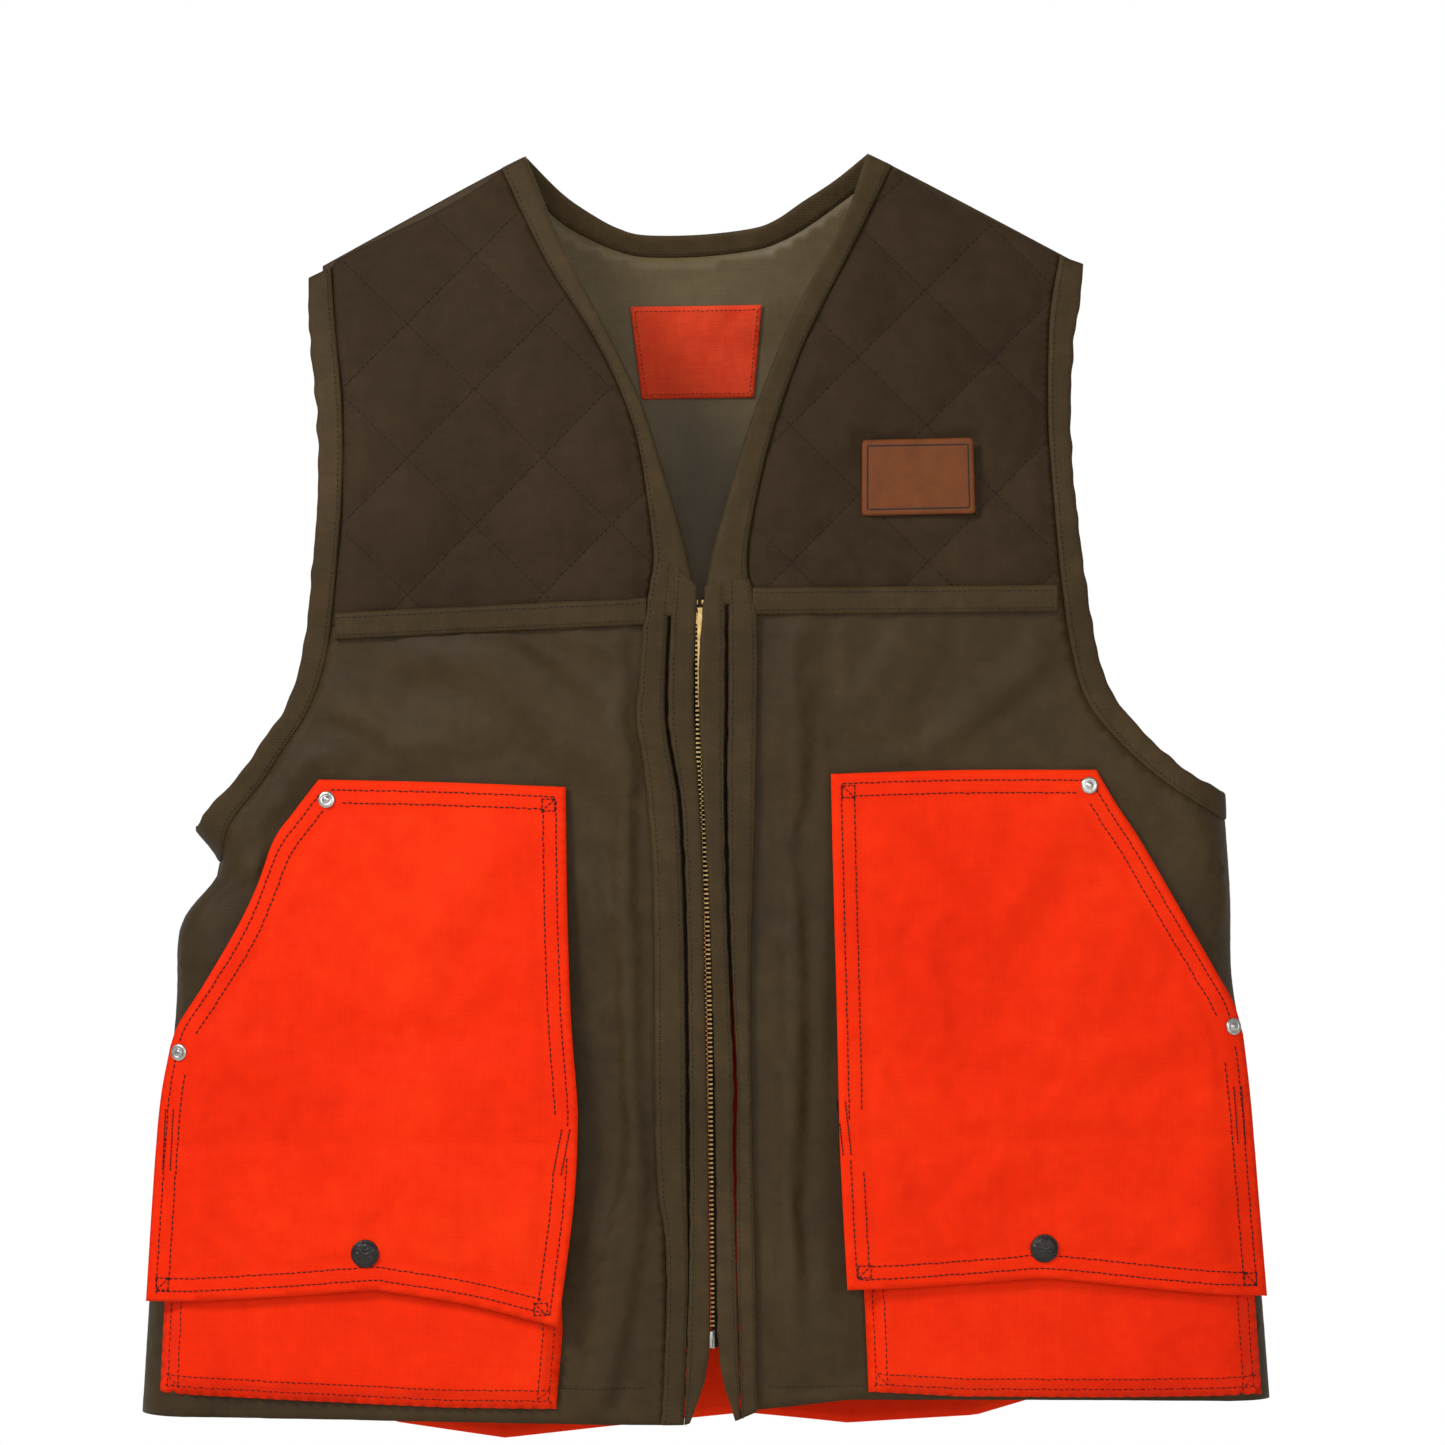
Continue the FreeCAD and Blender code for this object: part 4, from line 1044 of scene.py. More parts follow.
def build_yoke(side):
    name = SIDES[side]
    loop = yoke_loop(side)

    def place(x, z):
        edge = edge_distance(x, z, loop)
        fade = smooth_step(0.0, 0.012, edge)
        puff = quilt_puff(side, x, z) * 4.4 * MM * (0.25 + 0.75 * fade)
        pucker = 0.25 * MM * noise.noise(Vector((x * 160, z * 160, 3)))
        return wrap(side, x, z, 1.7 * MM + puff + pucker + 0.5 * MM * fade)

    yoke, _ = sheet_piece("quilted_yoke_" + name, loop, 2.6 * MM, place, MAT["quilt"])
    front = Surface(yoke)
    for key in (0, 1):
        for line in quilt_rows(side, key, loop):
            stitch_row("vest", "brown_thread", line,
                       lambda x, z: front.at(side * x, z), 3.4, 2.6, 0.30, 0.15)
    thicken(yoke, 1.4 * MM)
    piece_slot(yoke, "vest", "quilted_cloth", "yoke_" + name)
    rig.padded(yoke, fill=0.35)
    return yoke


def quilt_rows(side, key, loop):
    """The stretches of the quilting lines that lie inside a yoke's outline."""
    rows = []
    diagonal = QUILT_STEP * math.sqrt(2)
    for n in range(-12, 14):
        level = (n - QUILT_PHASE[side][key]) * diagonal
        run = []
        for i in range(0, 260):
            x = 0.02 + i * 0.0009
            z = level - x if key == 0 else x - level
            if inside((x, z), loop) and edge_distance(x, z, loop) > 1.5 * MM:
                run.append(Vector((x, z)))
            elif run:
                rows.append(run)
                run = []
        if run:
            rows.append(run)
    return [r for r in rows if len(r) > 5]


# ---------------------------------------------------------------------------------------------
# Bands: folded tapes bound over an edge, lofted between their two long edges
# ---------------------------------------------------------------------------------------------

BAND_PROFILE = [(-0.03, 0.30), (-0.02, 0.72), (0.06, 0.96), (0.22, 1.0), (0.5, 0.97), (0.78, 0.93),
                (0.92, 0.90), (0.985, 0.72), (1.0, 0.30), (0.98, 0.0), (0.6, 0.0), (0.3, 0.0),
                (0.03, 0.05)]


def band(name, rows, material, closed=False):
    """rows: one list of points per cross-section, all of equal length, joined into a closed skin."""
    verts = [p for row in rows for p in row]
    n = len(rows[0])
    faces = []
    last = len(rows) if closed else len(rows) - 1
    for i in range(last):
        j = (i + 1) % len(rows)
        for k in range(n):
            m = (k + 1) % n
            faces.append((i * n + k, j * n + k, j * n + m, i * n + m))
    if not closed:
        faces.append(tuple(range(n)))
        faces.append(tuple(reversed(range((len(rows) - 1) * n, len(rows) * n))))
    obj = make_object(name, verts, faces, material)
    fix_normals(obj)
    return obj


def fix_normals(obj):
    bm = bmesh.new()
    bm.from_mesh(obj.data)
    bmesh.ops.recalc_face_normals(bm, faces=bm.faces)
    bm.to_mesh(obj.data)
    bm.free()
    obj.data.update()


def pair_edges(outer, inner, count):
    """Two edges resampled to the same number of points."""
    def spread(points):
        lengths = [0.0]
        for a, b in zip(points, points[1:]):
            lengths.append(lengths[-1] + (b - a).length)
        out = []
        k = 0
        for i in range(count):
            want = lengths[-1] * i / (count - 1)
            while k < len(points) - 2 and lengths[k + 1] < want:
                k += 1
            t = (want - lengths[k]) / max(1e-9, lengths[k + 1] - lengths[k])
            out.append(points[k].lerp(points[k + 1], min(1.0, t)))
        return out
    return spread(outer), spread(inner)


def band_row(place, a, b, low, high, wave=0.0):
    row = []
    for t, rise in BAND_PROFILE:
        p = a.lerp(b, t)
        row.append(place(p.x, p.y, low + (high - low) * rise + wave * (1 - abs(2 * t - 1)) * (rise > 0.5)))
    return row


def pucker(i, seed, size=0.35):
    """The small ripples that a row of stitching draws into a tape."""
    return size * MM * (noise.noise(Vector((i * 0.33, seed, 0))) + 0.5 * math.sin(i * 1.9 + seed))


def build_armhole(side):
    """One tape all round an armhole, front and back, and its row of stitches."""
    name = SIDES[side]
    out = [Vector((cloth_s(p.x, p.y), p.y)) for p in mm_curve(ARM_OUT[side], 3)]
    sewn = [Vector((cloth_s(p.x, p.y), p.y)) for p in mm_curve(ARM_IN[side], 3)]
    out[-1].x = side_end(out[-1].y)
    sewn[-1].x = side_end(sewn[-1].y)
    count = 130
    a, b = pair_edges(out, sewn, count)
    for i in range(4, count - 4):
        wander = noise.noise(Vector((i * 0.27, side * 3.0, 1.0)))
        a[i] += (a[i] - b[i]).normalized() * 1.1 * MM * wander
    rows = []
    for i in range(count):
        high = 3.1 * MM + 2.0 * MM * smooth_step(-0.27, -0.235, a[i].y)
        rows.append(band_row(lambda s, z, o: wrap(side, s, z, o), a[i], b[i], -0.9 * MM, high,
                             pucker(i, side * 2.0)))
    for i in range(count - 2, 0, -1):
        rows.append(band_row(lambda s, z, o: wrap(side, s, z, o, False), a[i], b[i], -0.9 * MM,
                             3.1 * MM, pucker(i, side * 7.0)))
    obj = band("armhole_tape_" + name, rows, MAT["binding"], True)
    for front in (True, False):
        face = Surface(obj, front=front)
        row = [p.lerp(q, 0.80) for p, q in zip(a[:-9], b[:-9])]
        stitch_row("vest", "olive_thread", row,
                   lambda s, z: face.at(wrap(side, s, z).x, z), 3.0, 2.2, 0.30)
    piece_slot(obj, "vest", "binding_cloth", "armhole_binding_front_" + name,
               "armhole_binding_back_" + name)
    return obj


def build_vee(side):
    name = SIDES[side]
    a, b = pair_edges(mm_curve(VEE_IN[side], 3), mm_curve(VEE_OUT[side], 3), 95)
    rows = []
    for i in range(len(a)):
        lift = 1.2 * MM * smooth_step(-0.19, -0.24, a[i].y)
        rows.append(band_row(lambda s, z, o: wrap(side, s, z, o), a[i], b[i], -0.9 * MM,
                             5.0 * MM + lift, pucker(i, side * 11.0)))
    obj = band("front_neck_tape_" + name, rows, MAT["binding"])
    face = Surface(obj)
    row = [p.lerp(q, 0.84) for p, q in zip(a, b)]
    stitch_row("vest", "olive_thread", row, lambda x, z: face.at(side * x, z), 3.0, 2.2, 0.30)
    piece_slot(obj, "vest", "binding_cloth", "vee_binding_" + name)
    return obj


NECK_TOP = [(-95, 0.5), (-75, -19), (-57, -31), (-44, -37.5), (-30, -41), (0, -41), (30, -38),
            (44, -33.5), (59, -24), (77, -13), (95, 0.5)]
NECK_LOW = [(-99, -12), (-78, -33), (-59, -44), (-44, -50), (-30, -53), (0, -53), (30, -50),
            (45, -46), (61, -38), (79, -26), (99, -12)]


def build_back_neck():
    a, b = pair_edges(mm_curve(NECK_TOP, 3), mm_curve(NECK_LOW, 3), 90)
    rows = []
    for i in range(len(a)):
        rows.append(band_row(lambda x, z, o: skin(x, z, 1.2 * MM - o, False), a[i], b[i],
                             -2.6 * MM, 2.4 * MM, pucker(i, 4.0, 0.5)))
    obj = band("back_neck_tape", rows, MAT["binding"])
    inner = Surface(obj, front=True)
    row = [p.lerp(q, 0.82) for p, q in zip(a[2:-2], b[2:-2])]
    stitch_row("vest", "olive_thread", row, lambda x, z: inner.at(x, z), 3.0, 2.2, 0.30)
    piece_slot(obj, "vest", "binding_cloth", "back_neck_binding")
    return obj


# ---------------------------------------------------------------------------------------------
# The back: shell, lining, label and game bag
# ---------------------------------------------------------------------------------------------

def back_loop(spacing):
    """The whole back in cloth coordinates, with x negative on the wearer's right."""
    half = []
    for side in (1, -1):
        arm = cloth_points(ARM_IN[side])
        arm[-1].x = side_end(arm[-1].y)
        inner = [Vector((x, shoulder_line(x) - 1 * MM)) for x in
                 [0.1 + (arm[0].x - 0.1) * i / 20 for i in range(0, 20)]]
        z0 = arm[-1].y
        low = level(BACK_HEM, side * 0.31)
        edge = [Vector((side_end(z0 + (low - z0) * i / 40), z0 + (low - z0) * i / 40))
                for i in range(1, 41)]
        half.append([Vector((side * p.x, p.y)) for p in inner + arm + edge])
    neck = [Vector((p.x, p.y)) for p in mm_curve(NECK_LOW, 4)][2:-2]
    outline = neck + half[0] + list(reversed(half[1]))
    return Loop(curve_free(outline, spacing))


def back_wrap(s, z, offset):
    side = 1 if s >= 0 else -1
    return wrap(side, abs(s), z, offset, False)


def back_fold(s, z, scale, seed):
    fold = noise.noise(Vector((s * 9, z * 5, seed))) * 3.0
    fold += noise.noise(Vector(((s + 0.6 * z) * 26, (z - 0.5 * s) * 9, seed + 4))) * 1.5
    return fold * MM * scale


def build_back():
    loop = back_loop(6 * MM)

    def shell_out(s, z):
        fade = border_fade(s, z, loop, 0.03)
        return max(SHELL_LEAST, 1.6 * MM + (back_fold(s, z, 0.9, 1.0) + 1.6 * MM) * fade)

    def lining_out(s, z):
        fade = border_fade(s, z, loop, 0.06)
        return min(0.0, (back_fold(s, z, 0.8, 8.0) - 2.2 * MM) * fade)

    shell, flat = sheet_piece("back_shell", loop, 6.5 * MM,
                              lambda s, z: back_wrap(s, z, shell_out(s, z)), MAT["olive"], True)
    limits = [back_limit(s, z, shell_out(s, z) - SHELL_STOP, FREE_ROOM) for s, z in flat]
    plan_cloth(shell, pin_map(flat, loop), limits, 0.016, 0.6)
    lining, flat = sheet_piece("back_lining_cloth", loop, 6 * MM,
                               lambda s, z: back_wrap(s, z, lining_out(s, z)), MAT["lining"])
    limits = [back_limit(s, z, 5 * MM, -lining_out(s, z)) for s, z in flat]
    plan_cloth(lining, pin_map(flat, loop, 0.055), limits, 0.020, 0.25)
    return shell, lining


def back_limit(s, z, inward, outward):
    way = (back_wrap(s, z, OUTWARD_PROBE) - back_wrap(s, z, 0.0)).normalized()
    return way, inward, outward


def pin_map(flat, loop, reach=0.018):
    """Pin weights by place: full at the sewn edges, light in the middle and along the hem."""
    weights = []
    for s, z in flat:
        near = edge_distance(s, z, loop)
        hem = smooth_step(HEM + 0.03, HEM + 0.004, z) * 0.5
        weights.append(min(1.0, max(0.0, 1 - smooth_step(0.004, reach, near) - hem) + 0.04))
    return weights


def build_label(lining):
    """A blank woven label on the inside of the back, hemmed and sewn all round."""
    surface = Surface(lining)
    corners = [(-38, -80.5), (36, -80), (31, -131.5), (-32, -132)]
    loop = Loop(curve_free([Vector(c) * MM for c in corners], 2.5 * MM))

    def place(x, z):
        edge = edge_distance(x, z, loop)
        wave = 0.5 * MM * noise.noise(Vector((x * 40, z * 40, 9)))
        spot, _ = surface.at(x, z)
        return spot + Vector((0, -1.1 * MM - wave - 0.3 * MM * (1 - smooth_step(0, 0.004, edge)), 0))

    obj, _ = sheet_piece("neck_label_cloth", loop, 2.5 * MM, place, MAT["label"])
    thicken(obj, 0.5 * MM)
    face = Surface(obj)
    frame_row = [Vector(c) * MM for c in ((-35.5, -83), (33.6, -82.6), (28.9, -129), (-29.6, -129.4))]
    closed = frame_row + frame_row[:1]
    for a, b in zip(closed, closed[1:]):
        stitch_row("vest", "thread", [a, b], lambda x, z: face.at(x, z), 2.6, 1.7, 0.22)
    piece_slot(obj, "vest", "orange_label", "neck_label")
    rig.sheet(obj, held="stretched", rests_on=[lining.name], **loop.cut())
    return obj


def build_game_bag():
    """An open-topped tray of orange cloth inside the lower back; its fold shows under the hem."""
    half, top = 256 * MM, -402 * MM
    columns, rows = 104, 62
    verts, faces = [], []
    profile = [(i / rows, 0) for i in range(rows + 1)]
    for t, _ in profile:
        for c in range(columns + 1):
            x = -half + 2 * half * c / columns
            bottom = level(BAG_HEM, x)
            z = top + (bottom - top) * t
            close = smooth_step(0.0, 0.03, half - abs(x))
            fold = 2.2 * MM * noise.noise(Vector((x * 16, z * 8, 2.0))) * close
            sag = 0.8 * MM * math.sin(x * 19 + 0.6) * t ** 6
            verts.append(skin(x, z + sag * 0.5, -(1.6 + 9.2 * close) * MM + fold, False))
    for r in range(5):
        t = (r + 1) / 5
        for c in range(columns + 1):
            x = -half + 2 * half * c / columns
            bottom = level(BAG_HEM, x)
            close = smooth_step(0.0, 0.03, half - abs(x))
            sag = 0.8 * MM * math.sin(x * 19 + 0.6)
            drop = -1.2 * MM * math.sin(math.pi * t)
            verts.append(skin(x, bottom + sag * 0.5 * (1 - t) + drop + 4 * MM * t ** 2,
                              -(1.6 + 9.2 * close) * MM * (1 - t) - 0.6 * MM * t, False))
    total = rows + 6
    n = columns + 1
    for r in range(total - 1):
        for c in range(columns):
            a = r * n + c
            faces.append((a, a + 1, a + n + 1, a + n))
    obj = make_object("game_bag_cloth", verts, faces, MAT["orange"])
    orient(obj, False)
    thicken(obj, 0.6 * MM)
    face = Surface(obj)
    for drop in (5, 11):
        z = top - drop * MM
        row = [Vector((-half + 0.006 + i * 0.004, z)) for i in range(126)]
        stitch_row("vest", "thread", row, lambda x, z: face.at(x, z), 3.4, 2.4, 0.3)
    piece_slot(obj, "vest", "orange_cloth", "game_bag")
    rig.sheet(obj, (0.512, 0.313), "hung")
    return obj


# ---------------------------------------------------------------------------------------------
# Front strips beside the zipper
# ---------------------------------------------------------------------------------------------

STRIP_OUT = {
    1: [(27, -236), (31, -258), (31, -302), (29.6, -357), (27.6, -412), (26, -467), (26.5, -550),
        (27.5, -620), (28, -691)],
    -1: [(24, -225), (30, -258), (33, -291), (35, -310), (33, -324), (29, -357), (26, -412),
         (26, -549), (21, -600), (21, -640), (24, -698)],
}
STRIP_GAP = {
    1: [(15.7, -236), (15.2, -302), (14.3, -346), (15, -412), (16.7, -467), (18.4, -511),
        (17.7, -547), (17.5, -620), (19, -695)],
    -1: [(15, -227), (17.4, -258), (19.4, -302), (18, -324), (12.6, -357), (10.2, -412),
         (9.5, -480), (9.5, -555), (9.0, -620), (12, -698)],
}
STRIP_GAP_IN = {side: [(x - (1.7 if z > -590 else 0.2), z) for x, z in points]
                for side, points in STRIP_GAP.items()}
STRIP_ZIP = {
    1: [(3, -240), (-0.6, -291), (1.2, -346), (4.1, -412), (5.6, -467), (6.6, -522), (6.8, -577),
        (6.8, -640), (9, -670), (16, -696)],
    -1: [(1.4, -240), (4, -302), (1.2, -357), (-0.4, -390), (-0.8, -440), (-1.4, -494),
         (-2.2, -550), (-2.4, -640), (0.5, -672), (8.8, -697)],
}


def zip_line(z):
    """How far the zipper wanders to the wearer's left as it hangs."""
    return 2.4 * MM * smooth_step(-0.33, -0.50, z)


def build_strip(side, name, near, far, low, high, wave, slot, node):
    a, b = pair_edges(mm_curve(near[side], 3), mm_curve(far[side], 3), 190)
    for run, seed in ((a, 3.0), (b, 6.0)):
        for i, p in enumerate(run):
            p.x += 0.55 * MM * noise.noise(Vector((i * 0.30, seed, side * wave)))
    rows = []
    for i in range(len(a)):
        curl = 0.7 * MM * noise.noise(Vector((i * 0.05, side * 3.0, wave)))
        rows.append(band_row(lambda x, z, o: skin(side * x, z, o), a[i], b[i], low + curl, high + curl,
                             pucker(i, side * wave, 0.3)))
    obj = band(name + SIDES[side], rows, MAT["binding"])
    piece_slot(obj, "vest", slot, node + SIDES[side])
    return obj, a, b


def build_strips(side):
    outer, a, b = build_strip(side, "front_strip_", STRIP_OUT, STRIP_GAP, 1.4 * MM, 6.2 * MM, 5.0,
                              "binding_cloth", "placket_")
    face = Surface(outer)
    for t in (0.16, 0.84):
        row = [p.lerp(q, t) for p, q in zip(a, b)]
        stitch_row("vest", "olive_thread", row, lambda x, z: face.at(side * x, z), 3.0, 2.2, 0.28)
    inner, a, b = build_strip(side, "zip_strip_", STRIP_ZIP, STRIP_GAP_IN, 3.0 * MM, 6.6 * MM, 9.0,
                              "binding_cloth", "zip_guard_")
    face = Surface(inner)
    row = [p.lerp(q, 0.80) for p, q in zip(a, b)]
    stitch_row("vest", "olive_thread", row, lambda x, z: face.at(side * x, z), 3.0, 2.2, 0.28)


def build_yoke_tape(side):
    inner = 29 * MM
    outer = 200 * MM if side < 0 else 196.5 * MM
    drop = 14.5 * MM
    count = 110
    rows, top, low = [], [], []
    for i in range(count):
        x = inner + (outer - inner) * i / (count - 1)
        z = yoke_line(side, x) + 7.3 * MM
        top.append(Vector((x, z)))
        low.append(Vector((x + 0.2 * MM, z - drop)))
        rows.append(band_row(lambda x, z, o: wrap(side, x, z, o), top[-1], low[-1], 1.2 * MM,
                             5.9 * MM, pucker(i, side * 13.0, 0.4)))
    obj = band("yoke_seam_tape_" + SIDES[side], rows, MAT["binding"])
    face = Surface(obj)
    for t in (0.17, 0.83):
        row = [p.lerp(q, t) for p, q in zip(top, low)]
        stitch_row("vest", "olive_thread", row, lambda x, z: face.at(side * x, z), 3.0, 2.2, 0.30)
    piece_slot(obj, "vest", "binding_cloth", "yoke_tape_" + SIDES[side])


# ---------------------------------------------------------------------------------------------
# Zipper
# ---------------------------------------------------------------------------------------------

ZIP_TOP = -246 * MM
ZIP_END = -656 * MM
TOOTH_TOP = -262 * MM
TOOTH_LOW = -646 * MM
TOOTH_PITCH = 2.54 * MM


def build_zip_tape(side):
    count = 170
    rows = []
    for i in range(count):
        z = ZIP_TOP + (ZIP_END - ZIP_TOP) * i / (count - 1)
        mid = zip_line(z)
        ripple = 0.15 * MM * noise.noise(Vector((i * 0.4, side, 2)))
        row = []
        for across, y in ((1.2, 44.7), (2.0, 44.5), (8.0, 44.65), (13.9, 44.7), (13.9, 45.3),
                          (8.0, 45.35), (2.4, 45.5), (1.7, 45.9), (1.2, 45.5)):
            row.append(Vector((mid + side * across * MM, -y * MM + ripple, z)))
        rows.append(row)
    obj = band("zipper_cloth_" + SIDES[side], rows, MAT["zip_tape"])
    piece_slot(obj, "vest", "zip_tape", "zipper_tape_" + SIDES[side])


def build_teeth(side):
    """Stamped teeth: each a waisted block with a rounded nose that reaches past the middle."""
    verts, faces = [], []
    z = TOOTH_TOP - (0.5 * TOOTH_PITCH if side > 0 else 0)
    shape = [(2.9, 0.62), (1.5, 0.62), (0.9, 0.42), (-0.1, 0.50), (-0.3, 0.34), (-0.3, -0.34),
             (-0.1, -0.50), (0.9, -0.42), (1.5, -0.62), (2.9, -0.62)]
    while z > TOOTH_LOW:
        base = len(verts)
        n = len(shape)
        for y, shrink in ((-46.25, 0.82), (-46.0, 1.0), (-44.0, 1.0), (-43.75, 0.82)):
            for x, dz in shape:
                verts.append(Vector((zip_line(z) + side * (1.35 + (x - 1.35) * shrink) * MM,
                                     y * MM, z + dz * shrink * MM)))
        for ring in range(3):
            for k in range(n):
                m = (k + 1) % n
                faces.append((base + ring * n + k, base + ring * n + m,
                              base + (ring + 1) * n + m, base + (ring + 1) * n + k))
        faces.append(tuple(base + k for k in range(n)))
        faces.append(tuple(base + 3 * n + k for k in reversed(range(n))))
        z -= TOOTH_PITCH
    obj = make_object("zipper_teeth_row_" + SIDES[side], verts, faces, MAT["brass"], False)
    fix_normals(obj)
    piece_slot(obj, "vest", "brass", "zipper_teeth_" + SIDES[side])


def rounded_block(name, centre, size, bevel, material, taper=1.0):
    """A block with rolled edges, for small pressed metal pieces."""
    bm = bmesh.new()
    bmesh.ops.create_cube(bm, size=1.0)
    for v in bm.verts:
        squeeze = taper if v.co.z < 0 else 1.0
        v.co = Vector((v.co.x * size[0] * squeeze, v.co.y * size[1], v.co.z * size[2])) * MM
    bmesh.ops.bevel(bm, geom=bm.edges[:], offset=bevel * MM, segments=3, affect="EDGES", profile=0.5)
    bmesh.ops.translate(bm, verts=bm.verts, vec=Vector(centre) * MM)
    mesh = bpy.data.meshes.new(name)
    bm.to_mesh(mesh)
    bm.free()
    obj = bpy.data.objects.new(name, mesh)
    bpy.context.collection.objects.link(obj)
    mesh.materials.append(material)
    mesh.polygons.foreach_set("use_smooth", [True] * len(mesh.polygons))
    return obj


def build_zip_ends():
    low = zip_line(-0.65) / MM
    box_piece = rounded_block("zipper_box_block", (low - 0.9, -45.0, -651.8), (6.4, 4.0, 9.4), 0.8,
                              MAT["nickel"], 0.82)
    piece_slot(box_piece, "vest", "nickel", "zipper_box")
    pin = rounded_block("zipper_pin_bar", (low + 1.9, -45.0, -651.8), (1.9, 2.4, 10), 0.5, MAT["nickel"])
    piece_slot(pin, "vest", "nickel", "zipper_pin")
    for side in (1, -1):
        stop = rounded_block("zipper_stop_" + SIDES[side], (side * 1.7, -45.0, -248.5), (2.4, 2.6, 3.0),
                             0.5, MAT["brass"])
        piece_slot(stop, "vest", "brass", "zipper_top_stops")


# ---------------------------------------------------------------------------------------------
# Pockets
# ---------------------------------------------------------------------------------------------

POCKET_GAP = 2.6 * MM
POCKET_TOP = -349 * MM
POCKET_TILT = math.tan(math.radians(3.7))
FLAP_FRONT = 16.3 * MM

POCKET_TOP_EDGE = {1: [(71, -343), (140, -341.5), (217, -342)], -1: [(74, -349), (140, -346), (210, -344)]}
POCKET_SLANT = {
    1: [(217, -342), (228, -361), (241, -381), (263, -419.5), (282, -452), (292, -470), (297, -488)],
    -1: [(210, -344), (224, -362), (237, -380), (254, -421), (273, -453), (289, -477), (294, -490)],
}
POCKET_SIDE = {1: [(297, -488), (300.6, -524), (304.5, -575), (309, -632)],
               -1: [(294, -490), (299, -520), (303.5, -575), (307.5, -630)]}
POCKET_LOW = {
    1: [(309, -632), (277, -629.5), (245, -626), (189, -619.7), (162, -620.6), (107, -623.5), (77.6, -624)],
    -1: [(307.5, -630), (278, -629), (223, -626), (183, -623), (173, -624), (129, -631), (80, -643)],
}
POCKET_INNER = {1: [(77.6, -624), (75.5, -580), (74, -539), (73, -467), (72, -412), (71, -343)],
                -1: [(80, -643), (71, -576), (68.5, -532), (69, -516), (72, -472), (73.6, -411),
                     (74, -349)]}
POUCH_EDGE = {
    1: [(86, -563), (87, -624), (89, -681), (140, -684.5), (220, -686.5), (306.5, -687), (303, -632),
        (298, -563)],
    -1: [(80, -563), (78, -647), (82, -689), (140, -688.5), (220, -685), (301, -681), (298, -630),
         (294, -563)],
}


def pocket_edges(side):
    return [mm_curve(edge[side], 3) for edge in
            (POCKET_TOP_EDGE, POCKET_SLANT, POCKET_SIDE, POCKET_LOW, POCKET_INNER)]


def pocket_loop(side):
    edges = pocket_edges(side)
    return Loop(curve_free([p for edge in edges for p in edge[:-1]], 3.2 * MM))


def pouch_loop(side):
    points = straight(POUCH_EDGE[side], 4)
    mouth = straight([POUCH_EDGE[side][-1], POUCH_EDGE[side][0]], 4)
    return Loop(curve_free(points + mouth[1:-1], 3.6 * MM))


def on_flank(side, x, z, forward):
    """A point forward of the flank at a front-view x; the cloth turns back near the side seam."""
    across = (x - FLANK_START) / math.cos(math.radians(5))
    spot = flank(side, across, z, forward)
    spot.y += 9 * MM * smooth_step(0.272, 0.312, x) ** 1.5
    return spot


def pocket_forward(z):
    """How far the pocket stands in front of the flank: more toward the fold of its flap."""
    base = POCKET_GAP + 1.9 * MM
    return min(base + (POCKET_TOP - z) * POCKET_TILT, FLAP_FRONT) if z < POCKET_TOP else base


POCKET_FOLDS = {
    1: [((80, -352), (150, -420), 14, 1.6), ((215, -352), (160, -430), 14, 1.8),
        ((288, -470), (215, -500), 16, 1.8), ((110, -500), (240, -520), 14, -1.2),
        ((95, -560), (120, -620), 14, 1.8), ((285, -560), (262, -624), 14, 2.0)],
    -1: [((84, -355), (150, -430), 14, 1.8), ((205, -352), (150, -440), 16, 1.6),
         ((285, -480), (215, -510), 16, 1.8), ((100, -480), (220, -500), 16, -1.2),
         ((90, -575), (104, -636), 12, 2.2), ((280, -560), (265, -622), 14, 1.8),
         ((140, -560), (150, -622), 16, 1.2)],
}


def build_pocket(side):
    """The orange patch pocket and, below its fold, the flap that closes the pouch."""
    edges = pocket_edges(side)
    loop = pocket_loop(side)

    def place(x, z):
        edge = edge_distance(x, z, loop)
        hem = 0.7 * MM * (1 - smooth_step(0.0135, 0.0155, edge))
        roll = -0.5 * MM * (1 - smooth_step(0.0, 0.003, edge))
        seams = -0.35 * MM * (math.exp(-((edge - 0.006) / 0.0012) ** 2)
                              + math.exp(-((edge - 0.013) / 0.0012) ** 2))
        fold = sum(ridge(x, z, *f) for f in POCKET_FOLDS[side]) * smooth_step(0.0, 0.03, edge)
        ripple = 0.12 * MM * noise.noise(Vector((x * 55, z * 55, side * 2.0))) \
            + 0.9 * MM * noise.noise(Vector((x * 15, z * 13, side * 4.0)))
        crease = -0.8 * MM * math.exp(-((z - HINGE_Z) / 0.004) ** 2)
        forward = pocket_forward(z) + hem + roll + seams + fold + ripple + crease
        spot = on_flank(side, x, z, forward)
        spot.x -= side * pinch(side, z) * 0.3 * smooth_step(0.22, 0.29, x)
        return spot

    obj, flat = sheet_piece("orange_pocket_" + SIDES[side], loop, 3.3 * MM, place, MAT["orange"])
    limits = [(flank_normal(side), 1.2 * MM, 2.2 * MM)] * len(flat)
    plan_cloth(obj, hem_pins(flat, loop), limits, 0.006, 2.5)
    return obj, loop, edges


def hem_pins(flat, loop):
    """Stiff along the doubled hem, easy in the middle."""
    weights = []
    for x, z in flat:
        edge = edge_distance(x, z, loop)
        fold = math.exp(-((z - HINGE_Z) / 0.006) ** 2)
        weights.append(min(1.0, 0.06 + 0.9 * (1 - smooth_step(0.010, 0.020, edge)) + 0.8 * fold))
    return weights


POUCH_FOLDS = [((120, -640), (170, -688), 14, 1.6), ((250, -640), (230, -688), 12, 1.4)]


